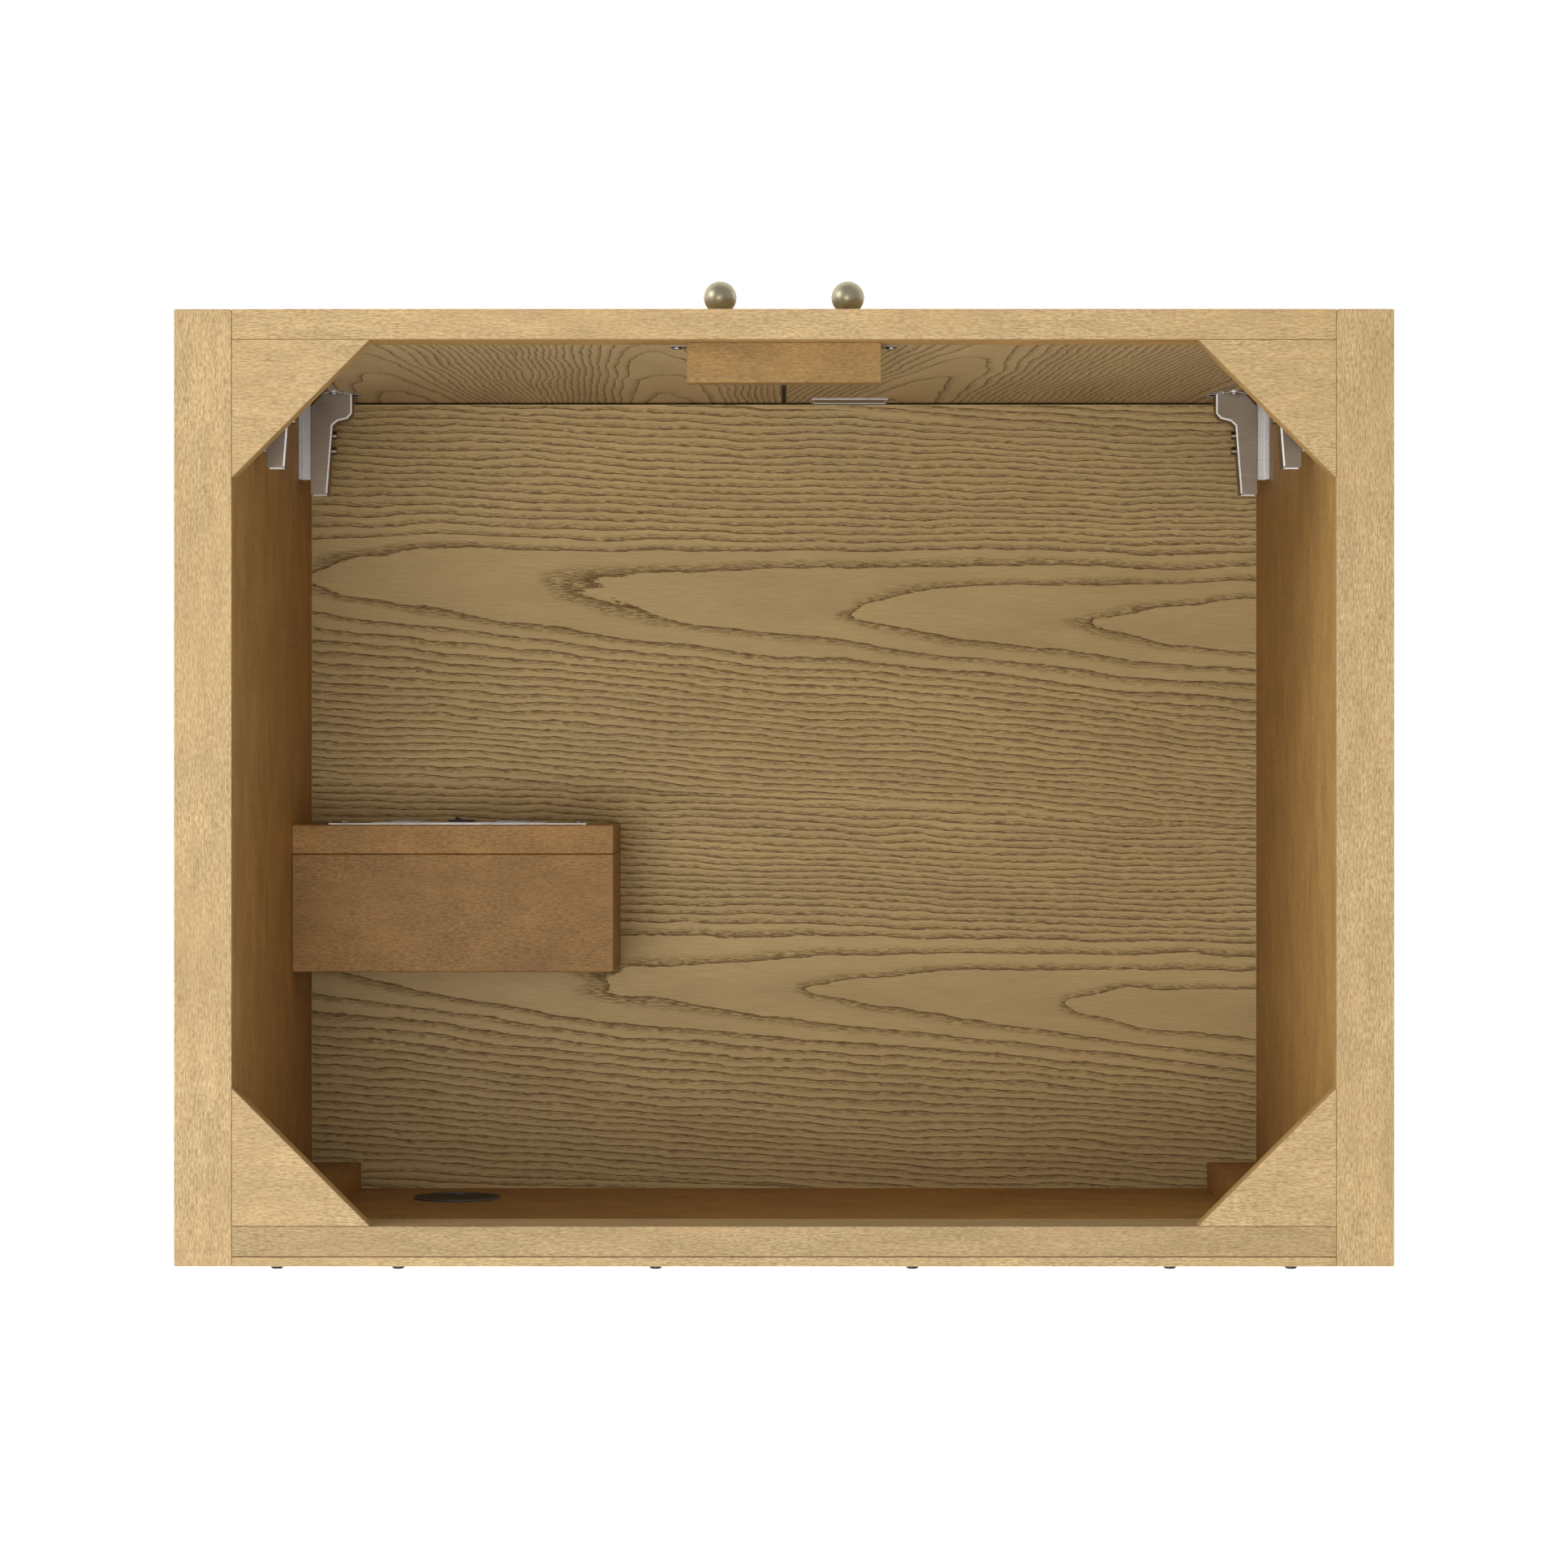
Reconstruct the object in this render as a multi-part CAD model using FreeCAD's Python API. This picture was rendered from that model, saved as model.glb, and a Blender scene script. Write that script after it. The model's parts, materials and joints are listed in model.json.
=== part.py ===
import FreeCAD, Part
import os

# An open-topped bathroom vanity base: a dowelled carcass, two inset doors on concealed
# hinges, magnetic catches and a power box. Millimetres, +Z up, the doors face -Y.
# The origin is the centre of the carcass underside.

Vector = FreeCAD.Vector
X_AXIS = Vector(1, 0, 0)
Y_AXIS = Vector(0, 1, 0)
Z_AXIS = Vector(0, 0, 1)
PARALLEL = 0.9

# Carcass
WIDTH = 762.0
DEPTH = 598.0
HEIGHT = 488.0
SIDE_T = 36.0
BOARD_T = 18.0
RAIL_T = 19.0
BACK_T = 6.0
FRONT_RAIL_H = 36.0
REAR_RAIL_H = 50.0
STILE_W = 36.0
BLOCK_LEG = 86.5
EASE = 0.3
CORNER_EASE = 0.8

INNER = WIDTH / 2 - SIDE_T
FRONT = -DEPTH / 2
REAR = DEPTH / 2
BACK_FACE = REAR - BACK_T
RAIL_FACE = FRONT + RAIL_T
STILE_FACE = BACK_FACE - RAIL_T
BLOCK_Z = HEIGHT - BOARD_T

# Dowels
DOWEL_R = 4.0
DOWEL_IN_SIDE = 14.0
DOWEL_IN_BOARD = 24.0
FLOOR_DOWEL_YS = (-225.0, -75.0, 75.0, 225.0)

# Doors
DOOR_T = 18.0
SIDE_GAP = 2.0
CENTRE_GAP = 3.4
DOOR_GAP_Z = 2.5
FLOOR_SLIT = 1.6
DOOR_BACK = FRONT + DOOR_T
DOOR_TOP = HEIGHT - FRONT_RAIL_H - DOOR_GAP_Z
DOOR_OUTER = INNER - SIDE_GAP

# Knobs
KNOB_X = 41.4
KNOB_Z = 378.0
KNOB_BALL_R = 10.7
KNOB_REACH = 29.6
KNOB_NECK_R = 3.4
KNOB_FOOT_R = 5.0
KNOB_FOOT_T = 1.5
KNOB_FOOT_TAPER = 1.2
KNOB_SCREW_R = 2.0
KNOB_SCREW_BITE = 9.0
KNOB_SCREW_HEAD_R = 4.5
KNOB_SCREW_HEAD_T = 2.2

# Concealed hinges: the cup is in the door, the arm and its plate are on the side
HINGE_ZS = {"lower": 91.5, "upper": 360.5}
CUP_X = 319.2
CUP_R = 17.5
CUP_DEPTH = 11.5
CUP_WALL = 1.2
CUP_LIP = 0.4
FLANGE_T = 1.5
FLANGE_H = 59.0
FLANGE_EAR_R = 7.0
CUP_SCREW_Z = 22.5
ARM_H = 19.0
ARM_WALL = 1.4
ARM_NOSE_Y = -282.5
ARM_END_Y = -208.5
ARM_NOSE_X = 307.6
ARM_BACK_X = 337.0
ARM_BEND_X = 326.0
ARM_BEND_Y = -271.0
# The crank's corners: x from the nose, y, and the inner face's step in y for each mm of wall
ARM_CRANK = ((0.0, -266.0, 0.3), (3.2, -262.4, 0.5), (10.2, -260.6, 0.3), (13.8, -257.5, 0.0))
ARM_TAIL_X = 17.6
PLATE_Y = (-275.0, -219.0)
PLATE_H = 25.0
PLATE_BASE_T = 2.0
PLATE_RIB_H = 13.0
PLATE_SCREW_YS = (-267.0, -227.0)
PLATE_SCREW_BITE = 16.0
ADJUSTER_YS = (-251.0, -240.0)
ADJUSTER_R = 2.8
ADJUSTER_FROM_NOSE = 11.5
# The folded links, from the cup's centre: each has its x range and height
LINK_T = 2.4
LINK_GAP = 0.6
INNER_LINK = ((-12.5, 8.0), 13.0)
OUTER_LINK = ((-4.0, 12.0), 7.6)
LINK_PIN_R = 1.5
LINK_PIN_X = 6.0
LINK_PIN_H = 15.0

# Wood screws shared by hinge cups, strike plates and catches
SCREW_R = 1.75
SCREW_HEAD_R = 3.2
SCREW_HEAD_T = 1.2
SCREW_BITE = 12.0
SCREW_CLEARANCE = 0.4
HEAD_ROUNDING = 0.45

# Magnetic catches
CATCH_BLOCK_HALF = 61.0
CATCH_BLOCK_BACK = -254.6
CATCH_X = (35.0, 61.0)
CATCH_Y = (-278.6, -257.0)
CATCH_H = 16.0
CATCH_SCREW_SETBACK = 5.0
CATCH_SCREW_BITE = 24.0
MAGNET_MARGIN = 3.0
MAGNET_DEPTH = 11.0
MAGNET_FACE_Y = -279.2
STRIKE_X = (24.0, 72.0)
STRIKE_Z = (432.5, 446.5)
STRIKE_T = 1.5
STRIKE_SCREW_INSET = 4.0

# Blank identification plate on the left door
BADGE_X = (-75.0, -20.0)
BADGE_Z = (19.5, 55.0)
BADGE_T = 1.2
BADGE_FIELD_T = 0.84
BADGE_BORDER = 1.5

# Power box
BOX_X = 119.5
BOX_FRONT = 26.5
BOX_JOINT = 46.8
BOX_REAR = 129.5
BOX_H = 132.0
BOX_BOARD_T = 16.0
BOX_EASE = 0.7

# Outlet plate, its wiring box, outlets and switch
OUTLET_PLATE_X = (140.0, 322.5)
OUTLET_PLATE_H = 70.0
OUTLET_PLATE_T = 1.7
OUTLET_RIM_T = 1.1
OUTLET_PANEL_X = (170.0, 292.6)
OUTLET_PANEL_H = 46.0
OUTLET_Z = BOARD_T + BOX_H / 2
WIRING_MARGIN_X = 12.0
WIRING_H = 52.0
WIRING_REAR = 100.0
WIRING_WALL = 1.5
OUTLET_XS = {"left": 193.8, "right": 268.8}
OUTLET_W = 28.6
OUTLET_H = 34.0
OUTLET_PROUD = 1.2
OUTLET_BODY_DEPTH = 28.0
OUTLET_CORNER_R = 5.0
SLOT_DEPTH = 9.0
# Each slot's x range and z range from the outlet's centre
NARROW_SLOT = ((-4.5, 2.5), (5.5, 7.2))
WIDE_SLOT = ((-5.2, 3.3), (-7.2, -5.3))
EARTH_R = 2.4
EARTH_X = 8.2
OUTLET_SCREW_OFFSET = 84.0

SWITCH_X = 230.6
BEZEL_W = 17.0
BEZEL_H = 26.0
BEZEL_T = 1.5
SWITCH_BODY_W = 14.6
SWITCH_BODY_H = 23.0
SWITCH_DEPTH = 20.0
ROCKER_WELL_W = 12.4
ROCKER_WELL_H = 18.4
ROCKER_WELL_DEPTH = 11.0
ROCKER_H = 17.8
ROCKER_TILT = 12.0
# The rocker's outline in plan, from its pivot
ROCKER_OUTLINE = ((-5.4, 2.0), (-5.4, -1.0), (-4.8, -5.6), (0.0, -4.4),
                  (4.8, -5.6), (5.4, -1.0), (5.4, 2.0), (0.0, 4.0))
ROCKER_PIN_R = 1.0
ROCKER_PIN_REACH = 1.6
PIN_CLEARANCE = 0.05
ROCKER_PIVOT_DEPTH = 4.5

# Cable grommet in the back panel
GROMMET_X = 233.0
GROMMET_Z = 95.0
GROMMET_FLANGE_R = 31.0
GROMMET_FLANGE_T = 1.5
GROMMET_FLANGE_EASE = 0.6
GROMMET_SLEEVE_R = 27.0
GROMMET_SEAT_R = 25.0
GROMMET_BORE_R = 22.0
GROMMET_SEAT_DEPTH = 3.0
CAP_R = 24.7
CAP_T = 2.4
CAP_SETBACK = 0.3
CAP_SLOT_W = 14.0
CAP_SLOT_H = 12.0

# Back panel screws
BACK_SCREW_XS = (80.5, 242.0, 318.0)
BACK_SCREW_TOP_Z = 474.0
BACK_SCREW_STILE_ZS = (140.0, 300.0)
BACK_SCREW_HEAD_R = 4.0
BACK_SCREW_HEAD_T = 2.8
BACK_SCREW_R = 1.8
BACK_SCREW_BITE = 20.0


def box(x_range, y_range, z_range):
    """A block between two corners."""
    x0, x1 = sorted(x_range)
    y0, y1 = sorted(y_range)
    z0, z1 = sorted(z_range)
    return Part.makeBox(x1 - x0, y1 - y0, z1 - z0, Vector(x0, y0, z0))


def rod(radius, start, end):
    """A round bar from one point to another."""
    start = Vector(*start)
    end = Vector(*end)
    along = end - start
    return Part.makeCylinder(radius, along.Length, start, along)


def prism(points, z0, z1):
    """An outline in plan, raised from z0 to z1."""
    corners = [Vector(x, y, z0) for x, y in points]
    face = Part.Face(Part.makePolygon(corners + [corners[0]]))
    return face.extrude(Vector(0, 0, z1 - z0))


def turned(points, centre):
    """A profile of (radius, y) points turned about a line along Y through centre."""
    x, z = centre
    corners = [Vector(x + radius, y, z) for radius, y in points]
    face = Part.Face(Part.makePolygon(corners + [corners[0]]))
    return face.revolve(Vector(x, 0, z), Y_AXIS, 360)


def runs_up(edge):
    """True for a straight upright edge."""
    return abs(edge.tangentAt(edge.FirstParameter).z) > PARALLEL


def eased(shape, size=EASE):
    """The same board with every edge eased."""
    return shape.makeChamfer(size, shape.Edges)


def corner_eased(shape):
    """A board whose upright corners are eased more than its other edges."""
    shape = shape.makeChamfer(CORNER_EASE, [edge for edge in shape.Edges if runs_up(edge)])
    return shape.makeChamfer(EASE, [edge for edge in shape.Edges if not runs_up(edge)])


def less(shape, cutters):
    """shape with each cutter taken away."""
    for cutter in cutters:
        shape = shape.cut(cutter)
    return shape


def flipped(shape):
    """The mirror image on the other side of the centre plane."""
    return shape.mirror(Vector(0, 0, 0), X_AXIS)


def on_side(shape, side):
    """shape is drawn on the right; it is mirrored for the left."""
    return shape if side == "right" else flipped(shape)


def save(name, *solids):
    """Write one node, which may be a group of separate solids."""
    shape = solids[0] if len(solids) == 1 else Part.makeCompound(list(solids))
    shape.exportStep(f"parts/{name}.step")


def pan_screw(seat, towards, head_r, head_t, shank_r, bite):
    """A pan-head screw: the head stands on the seat, the shank goes the other way."""
    seat = Vector(*seat)
    head = Part.makeCylinder(head_r, head_t, seat, towards * -1)
    rim = [edge for edge in head.Edges if edge.Closed and edge.CenterOfMass.sub(seat).Length > head_t / 2]
    head = head.makeFillet(head_t * HEAD_ROUNDING, rim)
    return head.fuse(Part.makeCylinder(shank_r, bite, seat, towards)).removeSplitter()


# ---- fasteners and pegs that the boards are drilled for ----

def dowel_at(y, z):
    """One dowel in the joint between a board's end and the right side panel."""
    return rod(DOWEL_R, (INNER - DOWEL_IN_BOARD, y, z), (INNER + DOWEL_IN_SIDE, y, z))


def make_dowels():
    """Dowels for the floor panel and for both top rails, on the right."""
    dowels = [dowel_at(y, BOARD_T / 2) for y in FLOOR_DOWEL_YS]
    dowels.append(dowel_at(FRONT + RAIL_T / 2, HEIGHT - FRONT_RAIL_H / 2))
    dowels.append(dowel_at(STILE_FACE + RAIL_T / 2, HEIGHT - REAR_RAIL_H / 2))
    return dowels


def make_back_screws():
    """Screws through the back panel into the rear rail, the stiles and the floor panel."""
    places = [(x, z) for z in (BACK_SCREW_TOP_Z, BOARD_T / 2) for x in BACK_SCREW_XS]
    places += [(INNER - STILE_W / 2, z) for z in BACK_SCREW_STILE_ZS]
    places += [(-x, z) for x, z in places]
    size = (BACK_SCREW_HEAD_R, BACK_SCREW_HEAD_T, BACK_SCREW_R, BACK_SCREW_BITE)
    return [pan_screw((x, REAR, z), Y_AXIS * -1, *size) for x, z in places]


def make_plate_screws():
    """The screws that hold both right-hand mounting plates to the side panel."""
    seat_x = INNER - PLATE_BASE_T
    size = (SCREW_HEAD_R, SCREW_HEAD_T, SCREW_R, PLATE_SCREW_BITE)
    places = [(y, z) for z in HINGE_ZS.values() for y in PLATE_SCREW_YS]
    return [pan_screw((seat_x, y, z), X_AXIS, *size) for y, z in places]


def make_door_screws():
    """The screws in the right door: two in each hinge cup and two in the strike plate."""
    size = (SCREW_HEAD_R, SCREW_HEAD_T, SCREW_R, SCREW_BITE)
    seat_y = DOOR_BACK + FLANGE_T
    places = [(CUP_X, z + side * CUP_SCREW_Z) for z in HINGE_ZS.values() for side in (-1, 1)]
    strike_xs = (STRIKE_X[0] + STRIKE_SCREW_INSET, STRIKE_X[1] - STRIKE_SCREW_INSET)
    places += [(x, sum(STRIKE_Z) / 2) for x in strike_xs]
    return [pan_screw((x, seat_y, z), Y_AXIS * -1, *size) for x, z in places]


def make_knob_screw():
    """The machine screw through the right door into its knob."""
    seat = (KNOB_X, DOOR_BACK, KNOB_Z)
    bite = DOOR_T + KNOB_SCREW_BITE
    return pan_screw(seat, Y_AXIS * -1, KNOB_SCREW_HEAD_R, KNOB_SCREW_HEAD_T, KNOB_SCREW_R, bite)


def make_catch_screw():
    """The screw up through the right catch into the catch block."""
    x = sum(CATCH_X) / 2
    y = CATCH_Y[1] - CATCH_SCREW_SETBACK
    z = HEIGHT - FRONT_RAIL_H - CATCH_H + SCREW_HEAD_T
    return pan_screw((x, y, z), Z_AXIS, SCREW_HEAD_R, SCREW_HEAD_T, SCREW_R, CATCH_SCREW_BITE)


# ---- carcass boards ----

def make_side_panel(drills):
    """The right side panel."""
    board = corner_eased(box((INNER, WIDTH / 2), (FRONT, REAR), (0, HEIGHT)))
    return less(board, drills)


def make_floor_panel(drills):
    """The floor panel, which stops just behind the doors."""
    board = box((-INNER, INNER), (DOOR_BACK + FLOOR_SLIT, BACK_FACE), (0, BOARD_T))
    return less(board, drills)


def make_back_panel(drills):
    """The thin back panel with the hole for the cable grommet."""
    board = box((-INNER, INNER), (BACK_FACE, REAR), (0, HEIGHT))
    hole = rod(GROMMET_SLEEVE_R, (GROMMET_X, BACK_FACE, GROMMET_Z), (GROMMET_X, REAR, GROMMET_Z))
    return less(board, drills + [hole])


def make_front_rail(drills):
    """The rail over the doors."""
    board = box((-INNER, INNER), (FRONT, RAIL_FACE), (HEIGHT - FRONT_RAIL_H, HEIGHT))
    return less(corner_eased(board), drills)


def make_rear_rail(drills):
    """The rail along the top of the back panel."""
    board = box((-INNER, INNER), (STILE_FACE, BACK_FACE), (HEIGHT - REAR_RAIL_H, HEIGHT))
    return less(eased(board), drills)


def make_rear_stile(drills):
    """The right rear stile, between the floor panel and the rear rail."""
    board = box((INNER - STILE_W, INNER), (STILE_FACE, BACK_FACE), (BOARD_T, HEIGHT - REAR_RAIL_H))
    return less(board, drills)


def make_corner_block(end):
    """The right corner block at the front or rear, a flat triangle."""
    y = RAIL_FACE if end == "front" else STILE_FACE
    inward = 1 if end == "front" else -1
    outline = [(INNER, y), (INNER, y + inward * BLOCK_LEG), (INNER - BLOCK_LEG, y)]
    return eased(prism(outline, BLOCK_Z, HEIGHT))


# ---- catches ----

def make_catch_block(drills):
    """The block behind the front rail that carries both catches."""
    x_range = (-CATCH_BLOCK_HALF, CATCH_BLOCK_HALF)
    z0 = HEIGHT - FRONT_RAIL_H
    board = eased(box(x_range, (RAIL_FACE, CATCH_BLOCK_BACK), (z0, z0 + BOARD_T)))
    return less(board, drills)


def make_magnet():
    """The magnet and pole piece in the right catch."""
    x_range = (CATCH_X[0] + MAGNET_MARGIN, CATCH_X[1] - MAGNET_MARGIN)
    z1 = HEIGHT - FRONT_RAIL_H - MAGNET_MARGIN
    z0 = z1 - CATCH_H + 2 * MAGNET_MARGIN
    return box(x_range, (MAGNET_FACE_Y, MAGNET_FACE_Y + MAGNET_DEPTH), (z0, z1))


def make_catch(drills):
    """The right catch housing, under the catch block."""
    z1 = HEIGHT - FRONT_RAIL_H
    housing = eased(box(CATCH_X, CATCH_Y, (z1 - CATCH_H, z1)))
    return less(housing, drills)


# ---- hinges ----

def make_hinge_plate(z):
    """A right-hand mounting plate: a flat base with a rib that the arm clips over."""
    base = box((INNER - PLATE_BASE_T, INNER), PLATE_Y, (z - PLATE_H / 2, z + PLATE_H / 2))
    rib = box((ARM_BACK_X, INNER - PLATE_BASE_T), PLATE_Y, (z - PLATE_RIB_H / 2, z + PLATE_RIB_H / 2))
    plate = base.fuse(rib).removeSplitter()
    for y in PLATE_SCREW_YS:
        pocket = rod(SCREW_HEAD_R + SCREW_CLEARANCE, (ARM_BACK_X, y, z), (INNER - PLATE_BASE_T, y, z))
        shank = rod(SCREW_R, (ARM_BACK_X, y, z), (INNER, y, z))
        plate = less(plate, [pocket, shank])
    return plate


def arm_outline(inset):
    """The cranked arm in plan; inset moves its web and nose inwards by the wall."""
    nose_x = ARM_NOSE_X + inset
    nose_y = ARM_NOSE_Y + inset
    crank = [(nose_x + x, y - inset * step) for x, y, step in ARM_CRANK]
    tail = [(nose_x + ARM_TAIL_X, ARM_END_Y), (ARM_BACK_X, ARM_END_Y)]
    return [(nose_x, nose_y)] + crank + tail + [(ARM_BACK_X, ARM_BEND_Y), (ARM_BEND_X, nose_y)]


def make_hinge_arm(z):
    """A right-hand cranked arm: a pressed channel, open towards the side panel."""
    half = ARM_H / 2
    channel = prism(arm_outline(0), z - half, z + half)
    hollow = prism(arm_outline(ARM_WALL), z - half + ARM_WALL, z + half - ARM_WALL)
    arm = channel.cut(hollow)
    return less(arm, [make_adjuster(y, z) for y in ADJUSTER_YS])


def make_adjuster(y, z):
    """An adjusting screw through the arm's web to the mounting plate."""
    return rod(ADJUSTER_R, (ARM_NOSE_X + ADJUSTER_FROM_NOSE, y, z), (ARM_BACK_X, y, z))


def make_hinge_cup(z):
    """A hinge cup with its two-eared flange, for the right door."""
    flange_y = DOOR_BACK + FLANGE_T
    disc = rod(CUP_R + CUP_LIP, (CUP_X, DOOR_BACK, z), (CUP_X, flange_y, z))
    ear_z = FLANGE_H / 2 - FLANGE_EAR_R
    bar = box((CUP_X - FLANGE_EAR_R, CUP_X + FLANGE_EAR_R), (DOOR_BACK, flange_y), (z - ear_z, z + ear_z))
    flange = disc.fuse(bar)
    for side in (-1, 1):
        ear = (CUP_X, DOOR_BACK, z + side * ear_z)
        flange = flange.fuse(Part.makeCylinder(FLANGE_EAR_R, FLANGE_T, Vector(*ear), Y_AXIS))
    well = rod(CUP_R, (CUP_X, DOOR_BACK - CUP_DEPTH, z), (CUP_X, DOOR_BACK, z))
    mouth = rod(CUP_R - CUP_WALL, (CUP_X, DOOR_BACK - CUP_DEPTH + CUP_WALL, z), (CUP_X, flange_y, z))
    cup = flange.fuse(well).removeSplitter()
    screws = [rod(SCREW_R, (CUP_X, DOOR_BACK, z + s * CUP_SCREW_Z), (CUP_X, flange_y, z + s * CUP_SCREW_Z))
              for s in (-1, 1)]
    return less(cup, [mouth] + screws)


def make_link(shape, bottom, z):
    """One flat link, given its x range and height, with its floor side at y = bottom."""
    (x0, x1), height = shape
    return box((CUP_X + x0, CUP_X + x1), (bottom, bottom + LINK_T), (z - height / 2, z + height / 2))


def make_links(z):
    """The pair of folded links that lie in one right-hand cup, on their pin."""
    bottom = DOOR_BACK - CUP_DEPTH + CUP_WALL
    pin_x = CUP_X + LINK_PIN_X
    pin_y = bottom + LINK_T
    inner_link = make_link(INNER_LINK, bottom, z)
    outer_link = make_link(OUTER_LINK, pin_y + LINK_GAP, z)
    pin = rod(LINK_PIN_R, (pin_x, pin_y, z - LINK_PIN_H / 2), (pin_x, pin_y, z + LINK_PIN_H / 2))
    return inner_link.fuse(outer_link).fuse(pin).removeSplitter()


# ---- doors ----

def make_door(drills):
    """The right inset door."""
    board = box((CENTRE_GAP / 2, DOOR_OUTER), (FRONT, DOOR_BACK), (DOOR_GAP_Z, DOOR_TOP))
    well_y = DOOR_BACK - CUP_DEPTH
    wells = [rod(CUP_R, (CUP_X, well_y, z), (CUP_X, DOOR_BACK, z)) for z in HINGE_ZS.values()]
    return less(eased(board), wells + drills)


def make_knob():
    """The right ball knob on its turned foot and neck."""
    ball_y = FRONT - KNOB_REACH + KNOB_BALL_R
    foot_y = FRONT - KNOB_FOOT_T
    profile = [
        (0.0, FRONT),
        (KNOB_FOOT_R, FRONT),
        (KNOB_FOOT_R, foot_y),
        (KNOB_NECK_R, foot_y - KNOB_FOOT_TAPER),
        (KNOB_NECK_R, ball_y),
        (0.0, ball_y),
    ]
    stem = turned(profile, (KNOB_X, KNOB_Z))
    ball = Part.makeSphere(KNOB_BALL_R, Vector(KNOB_X, ball_y, KNOB_Z))
    knob = stem.fuse(ball).removeSplitter()
    return knob.cut(rod(KNOB_SCREW_R, (KNOB_X, FRONT, KNOB_Z), (KNOB_X, FRONT - KNOB_SCREW_BITE, KNOB_Z)))


def make_strike(drills):
    """The steel strike plate on the right door."""
    plate = box(STRIKE_X, (DOOR_BACK, DOOR_BACK + STRIKE_T), STRIKE_Z)
    return less(plate, drills)


def make_badge():
    """A blank plate with a raised border."""
    plate = box(BADGE_X, (DOOR_BACK, DOOR_BACK + BADGE_T), BADGE_Z)
    x_range = (BADGE_X[0] + BADGE_BORDER, BADGE_X[1] - BADGE_BORDER)
    z_range = (BADGE_Z[0] + BADGE_BORDER, BADGE_Z[1] - BADGE_BORDER)
    return plate.cut(box(x_range, (DOOR_BACK + BADGE_FIELD_T, DOOR_BACK + BADGE_T), z_range))


# ---- power box ----

def wiring_box_shape():
    """The outside of the steel wiring box, used for the box and for its cut-out."""
    x_range = (OUTLET_PLATE_X[0] + WIRING_MARGIN_X, OUTLET_PLATE_X[1] - WIRING_MARGIN_X)
    z_range = (OUTLET_Z - WIRING_H / 2, OUTLET_Z + WIRING_H / 2)
    return x_range, z_range


def make_power_boards():
    """The four boards of the power box, by name."""
    top_z = BOARD_T + BOX_H
    under_top = top_z - BOX_BOARD_T
    inner_x = BOX_X + BOX_BOARD_T
    inner_y = BOX_REAR - BOX_BOARD_T
    x_range, z_range = wiring_box_shape()
    front = eased(box((BOX_X, INNER), (BOX_FRONT, BOX_JOINT), (BOARD_T, top_z)), BOX_EASE)
    front = front.cut(box(x_range, (BOX_FRONT, BOX_JOINT), z_range))
    return {
        "power_box_front": front,
        "power_box_top": eased(box((BOX_X, INNER), (BOX_JOINT, BOX_REAR), (under_top, top_z)), BOX_EASE),
        "power_box_end": box((BOX_X, inner_x), (BOX_JOINT, BOX_REAR), (BOARD_T, under_top)),
        "power_box_rear": box((inner_x, INNER), (inner_y, BOX_REAR), (BOARD_T, under_top)),
    }


def make_wiring_box():
    """The steel box behind the outlet plate, open at the front."""
    x_range, z_range = wiring_box_shape()
    shell = box(x_range, (BOX_FRONT, WIRING_REAR), z_range)
    wall = WIRING_WALL
    inner_x = (x_range[0] + wall, x_range[1] - wall)
    inner_z = (z_range[0] + wall, z_range[1] - wall)
    return shell.cut(box(inner_x, (BOX_FRONT, WIRING_REAR - wall), inner_z))


def make_outlet(x):
    """One outlet: a face with two blade slots and a round earth hole."""
    face_y = BOX_FRONT - OUTLET_PLATE_T - OUTLET_PROUD
    half_w = OUTLET_W / 2
    half_h = OUTLET_H / 2
    body = box((x - half_w, x + half_w), (face_y, BOX_FRONT + OUTLET_BODY_DEPTH),
               (OUTLET_Z - half_h, OUTLET_Z + half_h))
    corners = [edge for edge in body.Edges if abs(edge.tangentAt(edge.FirstParameter).y) > PARALLEL]
    body = body.makeFillet(OUTLET_CORNER_R, corners)
    depth = (face_y, face_y + SLOT_DEPTH)
    slots = [box([x + dx for dx in xs], depth, [OUTLET_Z + dz for dz in zs])
             for xs, zs in (NARROW_SLOT, WIDE_SLOT)]
    earth = rod(EARTH_R, (x + EARTH_X, face_y, OUTLET_Z), (x + EARTH_X, face_y + SLOT_DEPTH, OUTLET_Z))
    return less(body, slots + [earth])


def make_switch_housing():
    """The switch body with its bezel, its rocker well and the holes for the rocker's pins."""
    plate_face = BOX_FRONT - OUTLET_PLATE_T
    bezel_face = plate_face - BEZEL_T
    half_w = SWITCH_BODY_W / 2
    half_h = SWITCH_BODY_H / 2
    bezel = box((SWITCH_X - BEZEL_W / 2, SWITCH_X + BEZEL_W / 2), (bezel_face, plate_face),
                (OUTLET_Z - BEZEL_H / 2, OUTLET_Z + BEZEL_H / 2))
    body = box((SWITCH_X - half_w, SWITCH_X + half_w), (plate_face, plate_face + SWITCH_DEPTH),
               (OUTLET_Z - half_h, OUTLET_Z + half_h))
    well = box((SWITCH_X - ROCKER_WELL_W / 2, SWITCH_X + ROCKER_WELL_W / 2),
               (bezel_face, bezel_face + ROCKER_WELL_DEPTH),
               (OUTLET_Z - ROCKER_WELL_H / 2, OUTLET_Z + ROCKER_WELL_H / 2))
    pivot_y = bezel_face + ROCKER_PIVOT_DEPTH
    reach = ROCKER_H / 2 + ROCKER_PIN_REACH + PIN_CLEARANCE
    holes = rod(ROCKER_PIN_R + PIN_CLEARANCE, (SWITCH_X, pivot_y, OUTLET_Z - reach),
                (SWITCH_X, pivot_y, OUTLET_Z + reach))
    return less(bezel.fuse(body).removeSplitter(), [well, holes])


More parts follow.
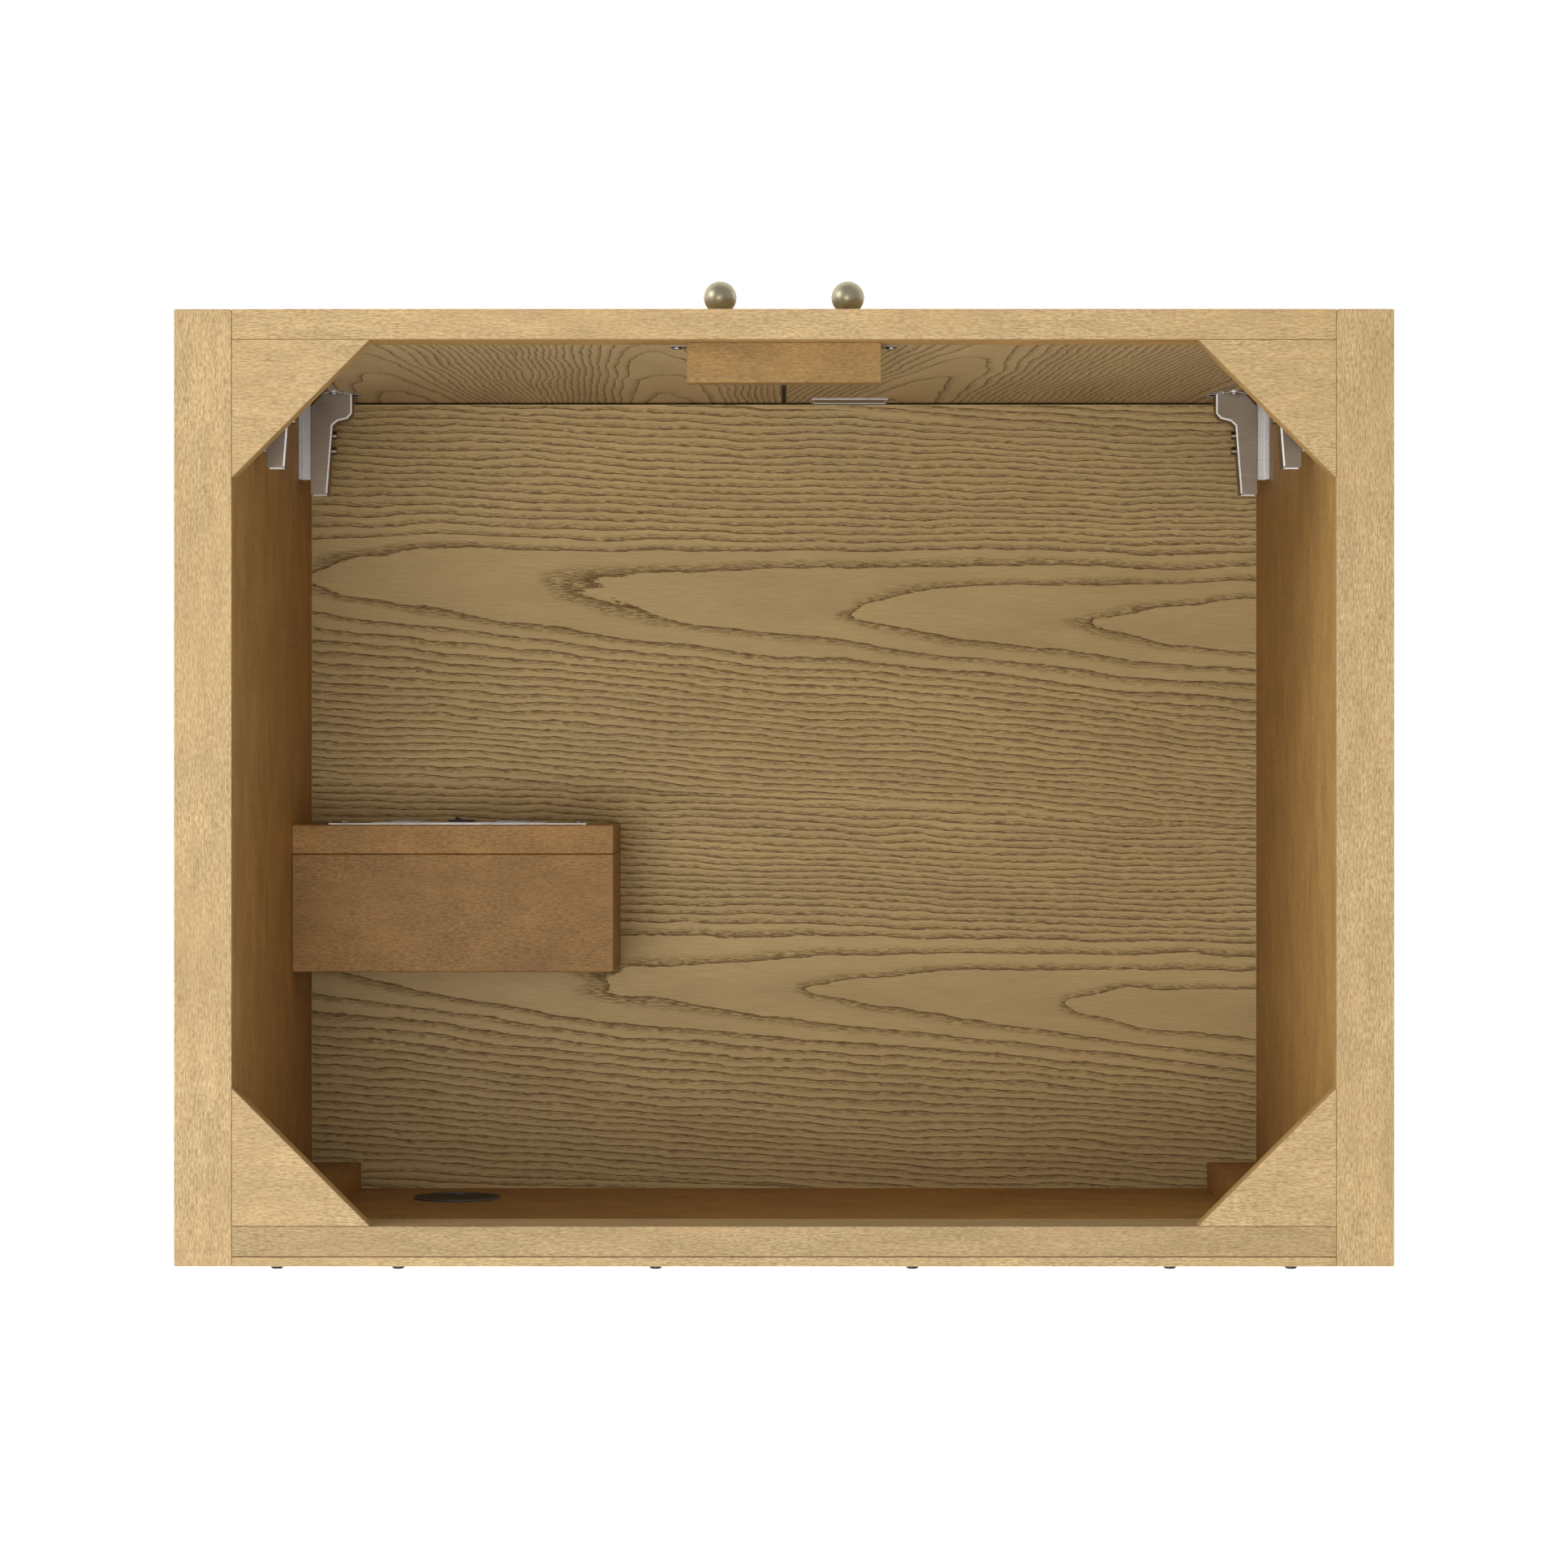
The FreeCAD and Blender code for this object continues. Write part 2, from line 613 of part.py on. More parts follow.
def make_rocker():
    """The rocker, tipped so that its right end stands proud."""
    pivot_y = BOX_FRONT - OUTLET_PLATE_T - BEZEL_T + ROCKER_PIVOT_DEPTH
    points = [(SWITCH_X + x, pivot_y + y) for x, y in ROCKER_OUTLINE]
    body = prism(points, OUTLET_Z - ROCKER_H / 2, OUTLET_Z + ROCKER_H / 2)
    reach = ROCKER_H / 2 + ROCKER_PIN_REACH
    pins = rod(ROCKER_PIN_R, (SWITCH_X, pivot_y, OUTLET_Z - reach), (SWITCH_X, pivot_y, OUTLET_Z + reach))
    rocker = body.fuse(pins).removeSplitter()
    rocker.rotate(Vector(SWITCH_X, pivot_y, 0), Z_AXIS, -ROCKER_TILT)
    return rocker


def make_outlet_screws():
    """The two screws that hold the outlet plate to the front board."""
    centre = sum(OUTLET_PLATE_X) / 2
    seat_y = BOX_FRONT - OUTLET_RIM_T
    size = (SCREW_HEAD_R, SCREW_HEAD_T, SCREW_R, SCREW_BITE)
    xs = (centre - OUTLET_SCREW_OFFSET, centre + OUTLET_SCREW_OFFSET)
    return [pan_screw((x, seat_y, OUTLET_Z), Y_AXIS, *size) for x in xs]


def make_outlet_plate(cutters):
    """The steel cover plate, with a raised panel around the outlets and the switch."""
    z_range = (OUTLET_Z - OUTLET_PLATE_H / 2, OUTLET_Z + OUTLET_PLATE_H / 2)
    rim = box(OUTLET_PLATE_X, (BOX_FRONT - OUTLET_RIM_T, BOX_FRONT), z_range)
    panel_z = (OUTLET_Z - OUTLET_PANEL_H / 2, OUTLET_Z + OUTLET_PANEL_H / 2)
    panel = box(OUTLET_PANEL_X, (BOX_FRONT - OUTLET_PLATE_T, BOX_FRONT), panel_z)
    return less(rim.fuse(panel).removeSplitter(), cutters)


# ---- cable grommet ----

def make_grommet_ring():
    """The grommet's ring: a flange inside the cabinet and a sleeve through the back panel."""
    flange_y = BACK_FACE - GROMMET_FLANGE_T
    seat_y = flange_y + GROMMET_SEAT_DEPTH
    profile = [
        (GROMMET_SEAT_R, flange_y),
        (GROMMET_FLANGE_R - GROMMET_FLANGE_EASE, flange_y),
        (GROMMET_FLANGE_R, flange_y + GROMMET_FLANGE_EASE),
        (GROMMET_FLANGE_R, BACK_FACE),
        (GROMMET_SLEEVE_R, BACK_FACE),
        (GROMMET_SLEEVE_R, REAR),
        (GROMMET_BORE_R, REAR),
        (GROMMET_BORE_R, seat_y),
        (GROMMET_SEAT_R, seat_y),
    ]
    return turned(profile, (GROMMET_X, GROMMET_Z))


def make_grommet_cap():
    """The round cap that turns in the ring's seat."""
    front_y = BACK_FACE - GROMMET_FLANGE_T + CAP_SETBACK
    cap = rod(CAP_R, (GROMMET_X, front_y, GROMMET_Z), (GROMMET_X, front_y + CAP_T, GROMMET_Z))
    slot_z = GROMMET_Z - CAP_R
    slot_x = (GROMMET_X - CAP_SLOT_W / 2, GROMMET_X + CAP_SLOT_W / 2)
    slot = box(slot_x, (front_y, front_y + CAP_T), (slot_z, slot_z + CAP_SLOT_H))
    return cap.cut(slot)


def both(shapes):
    """A list of right-hand solids followed by their left-hand mirror images."""
    return shapes + [flipped(shape) for shape in shapes]


def save_carcass():
    """Write the boards and the fasteners that join them."""
    dowels = make_dowels()
    back_screws = make_back_screws()
    plate_screws = make_plate_screws()
    catch_screw = make_catch_screw()
    save("carcass_dowels", *both(dowels))
    save("back_panel_screws", *back_screws)
    save("hinge_plate_screws", *both(plate_screws))
    save("floor_panel", make_floor_panel(both(dowels) + back_screws))
    save("back_panel", make_back_panel(back_screws))
    save("front_rail", make_front_rail(both(dowels)))
    save("rear_rail", make_rear_rail(both(dowels) + back_screws))
    save("catch_block", make_catch_block(both([catch_screw])))
    save("catch_screws", *both([catch_screw]))
    save("catch_magnets", *both([make_magnet()]))
    for side in ("left", "right"):
        side_panel = make_side_panel(dowels + plate_screws)
        save(f"side_panel_{side}", on_side(side_panel, side))
        save(f"rear_stile_{side}", on_side(make_rear_stile(back_screws), side))
        save(f"catch_{side}", on_side(make_catch([catch_screw, make_magnet()]), side))
        for end in ("front", "rear"):
            save(f"corner_block_{end}_{side}", on_side(make_corner_block(end), side))


def save_hinges():
    """Write each hinge's plate, arm and cup, and the adjusting screws."""
    adjusters = [make_adjuster(y, z) for z in HINGE_ZS.values() for y in ADJUSTER_YS]
    save("hinge_adjusting_screws", *both(adjusters))
    for side in ("left", "right"):
        for level, z in HINGE_ZS.items():
            save(f"hinge_plate_{side}_{level}", on_side(make_hinge_plate(z), side))
            save(f"hinge_arm_{side}_{level}", on_side(make_hinge_arm(z), side))
            save(f"hinge_cup_{side}_{level}", on_side(make_hinge_cup(z), side))
        links = [on_side(make_links(z), side) for z in HINGE_ZS.values()]
        save(f"hinge_links_{side}", *links)


def save_doors():
    """Write both doors with what is screwed to them."""
    door_screws = make_door_screws()
    knob_screw = make_knob_screw()
    for side in ("left", "right"):
        save(f"door_{side}", on_side(make_door(door_screws + [knob_screw]), side))
        save(f"knob_{side}", on_side(make_knob(), side))
        save(f"knob_screw_{side}", on_side(knob_screw, side))
        save(f"strike_plate_{side}", on_side(make_strike(door_screws), side))
        save(f"door_screws_{side}", *[on_side(screw, side) for screw in door_screws])
    save("badge_plate", make_badge())


def save_power_box():
    """Write the power box, its outlets and its switch."""
    outlets = {side: make_outlet(x) for side, x in OUTLET_XS.items()}
    housing = make_switch_housing()
    screws = make_outlet_screws()
    switch_hole = box((SWITCH_X - SWITCH_BODY_W / 2, SWITCH_X + SWITCH_BODY_W / 2),
                      (BOX_FRONT - OUTLET_PLATE_T, BOX_FRONT),
                      (OUTLET_Z - SWITCH_BODY_H / 2, OUTLET_Z + SWITCH_BODY_H / 2))
    outlet_holes = [outlet.common(box(OUTLET_PLATE_X, (BOX_FRONT - OUTLET_PLATE_T, BOX_FRONT),
                                      (BOARD_T, BOARD_T + BOX_H))) for outlet in outlets.values()]
    boards = make_power_boards()
    boards["power_box_front"] = less(boards["power_box_front"], screws)
    for name, board in boards.items():
        save(name, board)
    for side, outlet in outlets.items():
        save(f"outlet_{side}", outlet)
    save("outlet_plate", make_outlet_plate(outlet_holes + [switch_hole] + screws))
    save("outlet_plate_screws", *screws)
    save("wiring_box", make_wiring_box())
    save("switch_housing", housing)
    save("rocker_switch", make_rocker())


def main():
    os.makedirs("parts", exist_ok=True)
    save_carcass()
    save_hinges()
    save_doors()
    save_power_box()
    save("grommet_ring", make_grommet_ring())
    save("grommet_cap", make_grommet_cap())


main()
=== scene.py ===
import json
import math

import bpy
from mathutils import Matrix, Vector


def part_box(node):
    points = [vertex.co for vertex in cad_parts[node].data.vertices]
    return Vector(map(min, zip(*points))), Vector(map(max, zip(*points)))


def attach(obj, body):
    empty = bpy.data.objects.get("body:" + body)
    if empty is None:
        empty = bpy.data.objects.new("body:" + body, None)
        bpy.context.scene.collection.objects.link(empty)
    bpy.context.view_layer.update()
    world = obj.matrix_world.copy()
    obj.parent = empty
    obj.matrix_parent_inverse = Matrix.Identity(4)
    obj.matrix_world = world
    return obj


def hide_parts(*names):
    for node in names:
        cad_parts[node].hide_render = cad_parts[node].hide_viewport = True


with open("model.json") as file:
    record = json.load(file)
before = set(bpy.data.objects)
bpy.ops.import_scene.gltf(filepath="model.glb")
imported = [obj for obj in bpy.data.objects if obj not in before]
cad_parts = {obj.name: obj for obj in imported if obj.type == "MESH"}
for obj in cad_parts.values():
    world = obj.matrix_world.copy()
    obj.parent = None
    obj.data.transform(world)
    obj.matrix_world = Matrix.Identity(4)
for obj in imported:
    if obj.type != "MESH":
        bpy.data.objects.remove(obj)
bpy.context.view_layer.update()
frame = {"nodes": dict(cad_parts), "record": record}

# %% [markdown]
# # A vanity base cabinet, seen from above
#
# This lesson dresses a bathroom vanity base: a wooden box with no top, two doors at the
# front and some ironmongery inside. The frame that was just loaded holds every board and
# fitting at its true size. The lesson adds the stained wood, the plated steel and the
# rounded edges that a flat model doesn't have.
#
# The frame's own box is kept first, because the finished cabinet has to stay inside it.

CARCASS_LOW, CARCASS_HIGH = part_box("side_panel_right")
TOP = CARCASS_HIGH.z
NODES = frame["nodes"]

print("cabinet top at", round(TOP, 3), "m, with", len(NODES), "nodes")

# %% [markdown]
# ## The camera
#
# The cabinet is looked at from straight above, from nearly three metres over its top, with
# a long lens. From there the walls still lean outwards a little, so the inside shows. The
# camera is turned half round so that the doors are at the top of the picture.

# %% Hang the camera over the cabinet
CAMERA_OVER_TOP = 2.76
CAMERA_Y = -0.0023
LENS = 101.5


def hang_camera():
    """A long-lens camera that looks straight down, with the doors at the top."""
    data = bpy.data.cameras.new("overhead")
    data.lens = LENS
    data.sensor_width = 36.0
    camera = bpy.data.objects.new("overhead", data)
    bpy.context.scene.collection.objects.link(camera)
    camera.location = (0.0, CAMERA_Y, TOP + CAMERA_OVER_TOP)
    camera.rotation_euler = (0.0, 0.0, math.pi)
    return camera


bpy.context.scene.camera = hang_camera()
print("camera at", tuple(round(c, 3) for c in bpy.context.scene.camera.location))

# %% [markdown]
# ## Node trees in one line each
#
# A finish is a small graph of nodes. Written out in full it is mostly bookkeeping, so one
# helper adds a node and fills its sockets: a number or colour is set, and another node's
# output is linked. Three more helpers stand for the nodes used most.

# %% Helpers for finishes
def add(tree, kind, sockets=None, **settings):
    """Add one shader node, set its options and fill its sockets."""
    made = tree.nodes.new("ShaderNode" + kind)
    for key, value in settings.items():
        setattr(made, key, value)
    for socket, value in (sockets or {}).items():
        if isinstance(value, bpy.types.NodeSocket):
            tree.links.new(value, made.inputs[socket])
        else:
            made.inputs[socket].default_value = value
    return made


def maths(tree, operation, *values):
    """The result of one Math node."""
    return add(tree, "Math", dict(enumerate(values)), operation=operation).outputs[0]


def noise(tree, vector, detail=3.0, roughness=0.5, scale=1.0):
    """Noise between about 0.2 and 0.8, read at an already scaled vector."""
    sockets = {"Vector": vector, "Scale": scale, "Detail": detail, "Roughness": roughness}
    return add(tree, "TexNoise", sockets).outputs[0]


def graded(tree, value, low, high, start=0.0, end=1.0):
    """A value moved from the range low to high into the range start to end, and held there."""
    sockets = {0: value, 1: low, 2: high, 3: start, 4: end}
    return add(tree, "MapRange", sockets, clamp=True).outputs[0]


def blend(tree, factor, first, second, mode="MIX"):
    """Two colours mixed by a factor."""
    made = add(tree, "Mix", data_type="RGBA", blend_type=mode)
    for index, value in ((0, factor), (6, first), (7, second)):
        if isinstance(value, bpy.types.NodeSocket):
            tree.links.new(value, made.inputs[index])
        else:
            made.inputs[index].default_value = value
    return made.outputs[2]


def new_finish(name, roughness, metallic=0.0):
    """An empty finish: its material, its tree and its surface shader."""
    material = bpy.data.materials.new(name)
    material.use_nodes = True
    tree = material.node_tree
    surface = tree.nodes["Principled BSDF"]
    surface.inputs["Roughness"].default_value = roughness
    surface.inputs["Metallic"].default_value = metallic
    return material, tree, surface


def placed(tree, scale, turn=(0.0, 0.0, 0.0), move=(0.0, 0.0, 0.0)):
    """The object's own coordinates, turned, moved and then stretched."""
    coords = add(tree, "TexCoord").outputs["Object"]
    turned = add(tree, "Mapping", {"Vector": coords, "Rotation": turn, "Location": move}).outputs[0]
    return add(tree, "Mapping", {"Vector": turned, "Scale": scale}).outputs[0]


def dented(tree, surface, height, depth, strength=1.0):
    """Let a height value dent the surface by up to depth, in metres."""
    bump = add(tree, "Bump", {"Height": height, "Distance": depth, "Strength": strength})
    tree.links.new(bump.outputs[0], surface.inputs["Normal"])


QUARTER = math.pi / 2
GRAIN_TURNS = {"X": (0.0, 0.0, 0.0), "Y": (0.0, 0.0, -QUARTER), "Z": (0.0, QUARTER, 0.0)}
print("grain can run along", ", ".join(GRAIN_TURNS))

# %% [markdown]
# ## Stained birch
#
# The rails, sides and blocks are birch under a tan stain. Birch has no strong figure. What
# shows is a fine fleck, a few millimetres long and under a millimetre wide, lying along
# the grain, over soft patches where the stain took unevenly. Both are noise: the fleck is
# noise stretched along the grain, and the patches are slow noise. Each board has its own
# offset, so that the pattern doesn't run on across a joint.
#
# Two more things depend on a board's place. Inside the cabinet, except on the rear rail, the
# boards are made darker and warmer, more so towards the bottom. This is partly a deeper stain,
# which took unevenly, and partly painted shade for the dimmer, warmer light inside the box. The
# rear rail is left out, so its inner face stays lighter: painted light for light falling on it.
# Where two boards meet on top, stain has gathered in the joint and dried as a thin dark line.
# Both are worked out from the object's own coordinates.

# %% Helpers that depend on a board's place
BIRCH_PALE = (0.676, 0.490, 0.253, 1.0)
BIRCH_DEEP = (0.364, 0.230, 0.094, 1.0)
BIRCH_WARM = (0.512, 0.338, 0.148, 1.0)
INNER_X = CARCASS_LOW.x
INNER_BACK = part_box("back_panel")[0].y
FRONT_SKIN = CARCASS_LOW.y
SKIN = 0.0015
# Inner stain and painted shade: fades in below the top, darker and warmer towards the bottom
INNER_STAIN_SHADE_FADE = 8 * SKIN
INNER_STAIN_SHADE_HIGH = (1.020, 0.870, 0.600, 1.0)
INNER_STAIN_SHADE_LOW = (0.840, 0.615, 0.335, 1.0)
JOINT_STAIN = (0.500, 0.430, 0.360, 1.0)
JOINT_WIDTH = 0.00042
JOINT_DEPTH = 0.003
LACQUER_GLOSS = 0.20
# Left out of the inner stain and painted shade, so its inner face stays lighter, as if lit
NO_INNER_STAIN_SHADE = ("rear_rail",)


def place_parts(tree):
    """The object's own x, y and z as three sockets."""
    coords = add(tree, "TexCoord").outputs["Object"]
    return add(tree, "SeparateXYZ", {0: coords}).outputs


def inner_stain_and_shade(tree):
    """How far a point is inside the cabinet's outer skin, from 0 to 1, and the colour of its inner
    stain and painted shade.
    """
    x, y, z = place_parts(tree)[:3]
    sides = graded(tree, maths(tree, "ABSOLUTE", x), INNER_X, INNER_X + SKIN, 1.0, 0.0)
    back = graded(tree, y, INNER_BACK, INNER_BACK + SKIN, 1.0, 0.0)
    front = graded(tree, y, FRONT_SKIN + SKIN, FRONT_SKIN + 2 * SKIN)
    below = graded(tree, z, TOP - INNER_STAIN_SHADE_FADE, TOP - SKIN, 1.0, 0.0)
    walls = maths(tree, "MINIMUM", maths(tree, "MINIMUM", sides, back), front)
    inside = maths(tree, "MINIMUM", walls, below)
    # darker and warmer towards the bottom: partly deeper stain, partly painted shade
    return inside, blend(tree, graded(tree, z, 0.0, TOP), INNER_STAIN_SHADE_LOW, INNER_STAIN_SHADE_HIGH)


def joint_lines(tree, board, faces):
    """1 on the top edges of the named faces: small letter for low face, capital for high."""
    low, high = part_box(board)
    parts = place_parts(tree)
    line = 0.0
    for letter in faces:
        axis = "xyz".index(letter.lower())
        face = high[axis] if letter.isupper() else low[axis]
        line = maths(tree, "MAXIMUM", line, maths(tree, "COMPARE", parts[axis], face, JOINT_WIDTH))
    return maths(tree, "MULTIPLY", line, maths(tree, "COMPARE", parts[2], high.z, JOINT_DEPTH))


print("inside starts", round(INNER_X * 1000), "mm from the middle")

# %% Lay the birch's noise, its inner stain and its painted shade
FLECK_SCALE = (260.0, 1000.0, 1000.0)
FIBRE_SCALE = (90.0, 2400.0, 2400.0)
PATCH_SCALE = (7.0, 22.0, 22.0)
FIGURE_SCALE = (24.0, 90.0, 90.0)
BLOTCH_SCALE = (22.0, 34.0, 34.0)
FLECK_SHARE = 0.65
FIBRE_SHARE = 0.35
BOARD_SHIFT = (0.37, 0.61, 0.23)
PATCH_STRENGTH = 0.45
FIGURE_SHADES = (0.87, 1.07)
INNER_STAIN_SHADE_BLOTCH = (1.09, 0.88)
BIRCH_SHINE = (0.56, 0.42)
BIRCH_DENT = 0.00008


def grey_level(tree, value):
    """A value as a grey, to multiply a colour with."""
    return add(tree, "CombineColor", {0: value, 1: value, 2: value}).outputs[0]


def stained_and_shaded(tree, board, colour, blotch):
    """The inner stain and painted shade over a colour, thinner in some blotches than in others."""
    if board in NO_INNER_STAIN_SHADE:
        return colour
    inside, stain_and_shade = inner_stain_and_shade(tree)
    uneven = graded(tree, blotch, 0.36, 0.64, *INNER_STAIN_SHADE_BLOTCH)
    stain_and_shade = blend(tree, 1.0, stain_and_shade, grey_level(tree, uneven), "MULTIPLY")
    return blend(tree, inside, colour, stain_and_shade, "MULTIPLY")


# boards left out of the inner stain and painted shade
print("boards with one coat:", ", ".join(NO_INNER_STAIN_SHADE))

# %% Make the birch finish
def birch_finish(board, grain, seed, tone, joints):
    """Stained birch with its grain along one axis."""
    material, tree, surface = new_finish("birch_" + board, 0.5)
    surface.inputs["Specular IOR Level"].default_value = LACQUER_GLOSS
    turn = GRAIN_TURNS[grain]
    move = tuple(step * seed for step in BOARD_SHIFT)
    fleck = noise(tree, placed(tree, FLECK_SCALE, turn, move), 4.0, 0.66)
    fibre = noise(tree, placed(tree, FIBRE_SCALE, turn, move), 2.0, 0.5)
    patches = noise(tree, placed(tree, PATCH_SCALE, turn, move), 3.0, 0.55)
    figure = noise(tree, placed(tree, FIGURE_SCALE, turn, move), 3.0, 0.6)
    blotch = noise(tree, placed(tree, BLOTCH_SCALE, turn, move), 3.0, 0.6)
    fine = maths(tree, "MULTIPLY_ADD", fibre, FIBRE_SHARE, maths(tree, "MULTIPLY", fleck, FLECK_SHARE))
    colour = blend(tree, graded(tree, fine, 0.40, 0.60), BIRCH_DEEP, BIRCH_PALE)
    colour = blend(tree, graded(tree, patches, 0.36, 0.66, 0.0, PATCH_STRENGTH), colour, BIRCH_WARM)
    shade = graded(tree, figure, 0.3, 0.7, *(level * tone for level in FIGURE_SHADES))
    colour = blend(tree, 1.0, colour, grey_level(tree, shade), "MULTIPLY")
    # painted shade and deeper stain inside the cabinet, darker towards the bottom
    colour = stained_and_shaded(tree, board, colour, blotch)
    colour = blend(tree, joint_lines(tree, board, joints), colour, JOINT_STAIN, "MULTIPLY")
    tree.links.new(colour, surface.inputs["Base Color"])
    tree.links.new(graded(tree, fine, 0.3, 0.7, *BIRCH_SHINE), surface.inputs["Roughness"])
    dented(tree, surface, fine, BIRCH_DENT, 0.6)
    return material


print("birch finish ready, with flecks", round(1000 / FLECK_SCALE[0], 1), "mm long")

# %% Dress the birch boards
BIRCH_BOARDS = {
    "side_panel_left": ("Y", 1, 0.855, ""),
    "side_panel_right": ("Y", 2, 0.855, ""),
    "front_rail": ("X", 3, 0.865, "xX"),
    "rear_rail": ("X", 4, 0.69, "xXY"),
    "back_panel": ("X", 5, 0.84, "xXy"),
    "rear_stile_left": ("Z", 6, 0.86, ""),
    "rear_stile_right": ("Z", 7, 0.84, ""),
    "corner_block_front_left": ("X", 8, 0.845, "xy"),
    "corner_block_front_right": ("X", 9, 0.86, "Xy"),
    "corner_block_rear_left": ("X", 10, 0.85, "xY"),
    "corner_block_rear_right": ("X", 11, 0.84, "XY"),
    "catch_block": ("X", 12, 0.57, "y"),
    "power_box_front": ("X", 13, 0.72, "Y"),
    "power_box_top": ("X", 14, 0.63, "yX"),
    "power_box_end": ("Z", 15, 0.74, ""),
    "power_box_rear": ("X", 16, 0.85, ""),
    "carcass_dowels": ("X", 17, 1.00, ""),
}


def dress(node, material):
    """Give a frame node one finish in every slot."""
    mesh = NODES[node].data
    mesh.materials.clear()
    mesh.materials.append(material)


for board, (grain, seed, tone, joints) in BIRCH_BOARDS.items():
    dress(board, birch_finish(board, grain, seed, tone, joints))
print(len(BIRCH_BOARDS), "birch boards dressed")

# %% [markdown]
# ## Brushed oak veneer
#
# The floor panel and the doors are faced with oak that was wire-brushed, so the soft early
# wood is cut away in dark broken grooves. The figure is the cathedral pattern of plain-sawn
# wood. It can be worked out: a tree's rings are cylinders that taper a little, and a flat
# cut that passes close to the heart meets them in long pointed arches, with nearly straight
# lines on both sides.
#
# So the finish takes two lengths, across the grain from the heart line and down from the
# cut to the heart, and the distance to the heart is their hypotenuse. That distance is
# turned into a count of years. Close to the heart the count grows more slowly than the
# distance. Further out come the lean years, whose rings lie closer together. Each year
# starts with a sharp edge of open pores, which thin out into smooth wood. At the heart line
# the cut runs almost along a ring, so the edge is made thinner there, or it would smear.
# Slow noise makes the rings wander, quick noise frays them, and noise stretched along the
# grain breaks the pores into strokes. The boards' narrow edges are banded with plain
# strips, so the grooves stop just short of them.

# %% Lay out the veneer
OAK_FACE = (0.446, 0.315, 0.134, 1.0)
OAK_LIGHT = (0.542, 0.386, 0.168, 1.0)
OAK_GROOVE = (0.118, 0.062, 0.023, 1.0)
OAK_STREAK = (0.270, 0.184, 0.080, 1.0)
FLOOR_LEAF = 0.2845
BANDING = 0.0006
RING_UNIT = 0.002352
RING_POWER = 0.75
LEAN_YEARS = (0.066, 0.214, 14.2)
FIRST_YEAR = 0.44
HEART_DEPTH = 0.0521
HEART_TAPER = 0.038
DRIFT = ((2.2, 5.0), 0.030)
RIPPLE = ((13.0, 30.0), 0.0075)
JITTER = ((38.0, 55.0), 0.0034)
FRAY = ((150.0, 600.0), 0.0013)
HEART_DRIFT = ((7.0, 22.0), 0.007)
CALM_WIDTH = 0.05


def veneer_coords(tree, grain, heart, lean):
    """Length along the grain, and length across it from the leaf's slightly leaning heart line."""
    parts = place_parts(tree)
    along = parts[grain[0]]
    across = maths(tree, "SUBTRACT", parts[grain[1]], heart)
    across = maths(tree, "MULTIPLY_ADD", along, lean, across)
    return along, across


def stretched(tree, along, across, along_scale, across_scale, third=0.0):
    """A vector for noise, stretched along the grain."""
    sockets = {0: maths(tree, "MULTIPLY", along, along_scale),
               1: maths(tree, "MULTIPLY", across, across_scale), 2: third}
    return add(tree, "CombineXYZ", sockets).outputs[0]


def wander(tree, along, across, scales, amount, seed):
    """A length that wanders either way by up to about half of amount."""
    value = noise(tree, stretched(tree, along, across, *scales, third=seed), 2.0, 0.5)
    return maths(tree, "MULTIPLY", maths(tree, "SUBTRACT", value, 0.5), amount)


def count_years(tree, along, across, leaf_width, crowding, seed):
    """The count of rings from the heart, and the distance from the leaf's heart line."""
    drift = wander(tree, along, across, *DRIFT, seed)
    ripple = wander(tree, along, across, *RIPPLE, seed + 3.0)
    jitter = wander(tree, along, across, *JITTER, seed + 4.0)
    fray = wander(tree, along, across, *FRAY, seed + 5.0)
    wavy = maths(tree, "ADD", maths(tree, "ADD", across, drift), maths(tree, "ADD", ripple, jitter))
    leaf = maths(tree, "WRAP", wavy, leaf_width / 2, -leaf_width / 2)
    off_heart = maths(tree, "ABSOLUTE", leaf)
    fray = maths(tree, "MULTIPLY", fray, graded(tree, off_heart, 0.0, CALM_WIDTH, 0.15, 1.0))
    depth = maths(tree, "MULTIPLY_ADD", along, HEART_TAPER, HEART_DEPTH)
    depth = maths(tree, "ADD", depth, wander(tree, along, across, *HEART_DRIFT, seed + 7.0))
    squares = maths(tree, "MULTIPLY_ADD", leaf, leaf, maths(tree, "MULTIPLY", depth, depth))
    radius = maths(tree, "ADD", maths(tree, "SQRT", squares), fray)
    years = maths(tree, "POWER", maths(tree, "DIVIDE", radius, RING_UNIT), RING_POWER)
    start, end, extra = LEAN_YEARS
    lean_years = graded(tree, radius, start, end, FIRST_YEAR, FIRST_YEAR + extra)
    return maths(tree, "MULTIPLY", maths(tree, "ADD", years, lean_years), crowding), off_heart


def away_from_edges(tree, board, grain):
    """1 on the broad faces of a board, falling to 0 at its four narrow edges."""
    low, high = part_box(board)
    parts = place_parts(tree)
    clear = 1.0
    for axis in grain:
        start, end = low[axis] + BANDING, high[axis] - BANDING
        clear = maths(tree, "MULTIPLY", clear, graded(tree, parts[axis], low[axis], start))
        clear = maths(tree, "MULTIPLY", clear, graded(tree, parts[axis], end, high[axis], 1.0, 0.0))
    return clear


print("oak leaves on the floor are", round(FLOOR_LEAF * 1000), "mm wide")

# %% Cut the brushed grooves
EDGE_WIDTHS = (0.14, 0.27)
EDGE_ALONE = 0.12
PORE_REACH = 0.70
PORE_STRENGTH = 0.85
WEIGHT_SCALE = (8.0, 60.0)
STROKE_SCALE = (85.0, 1000.0)
DASH_SCALE = (130.0, 1500.0)


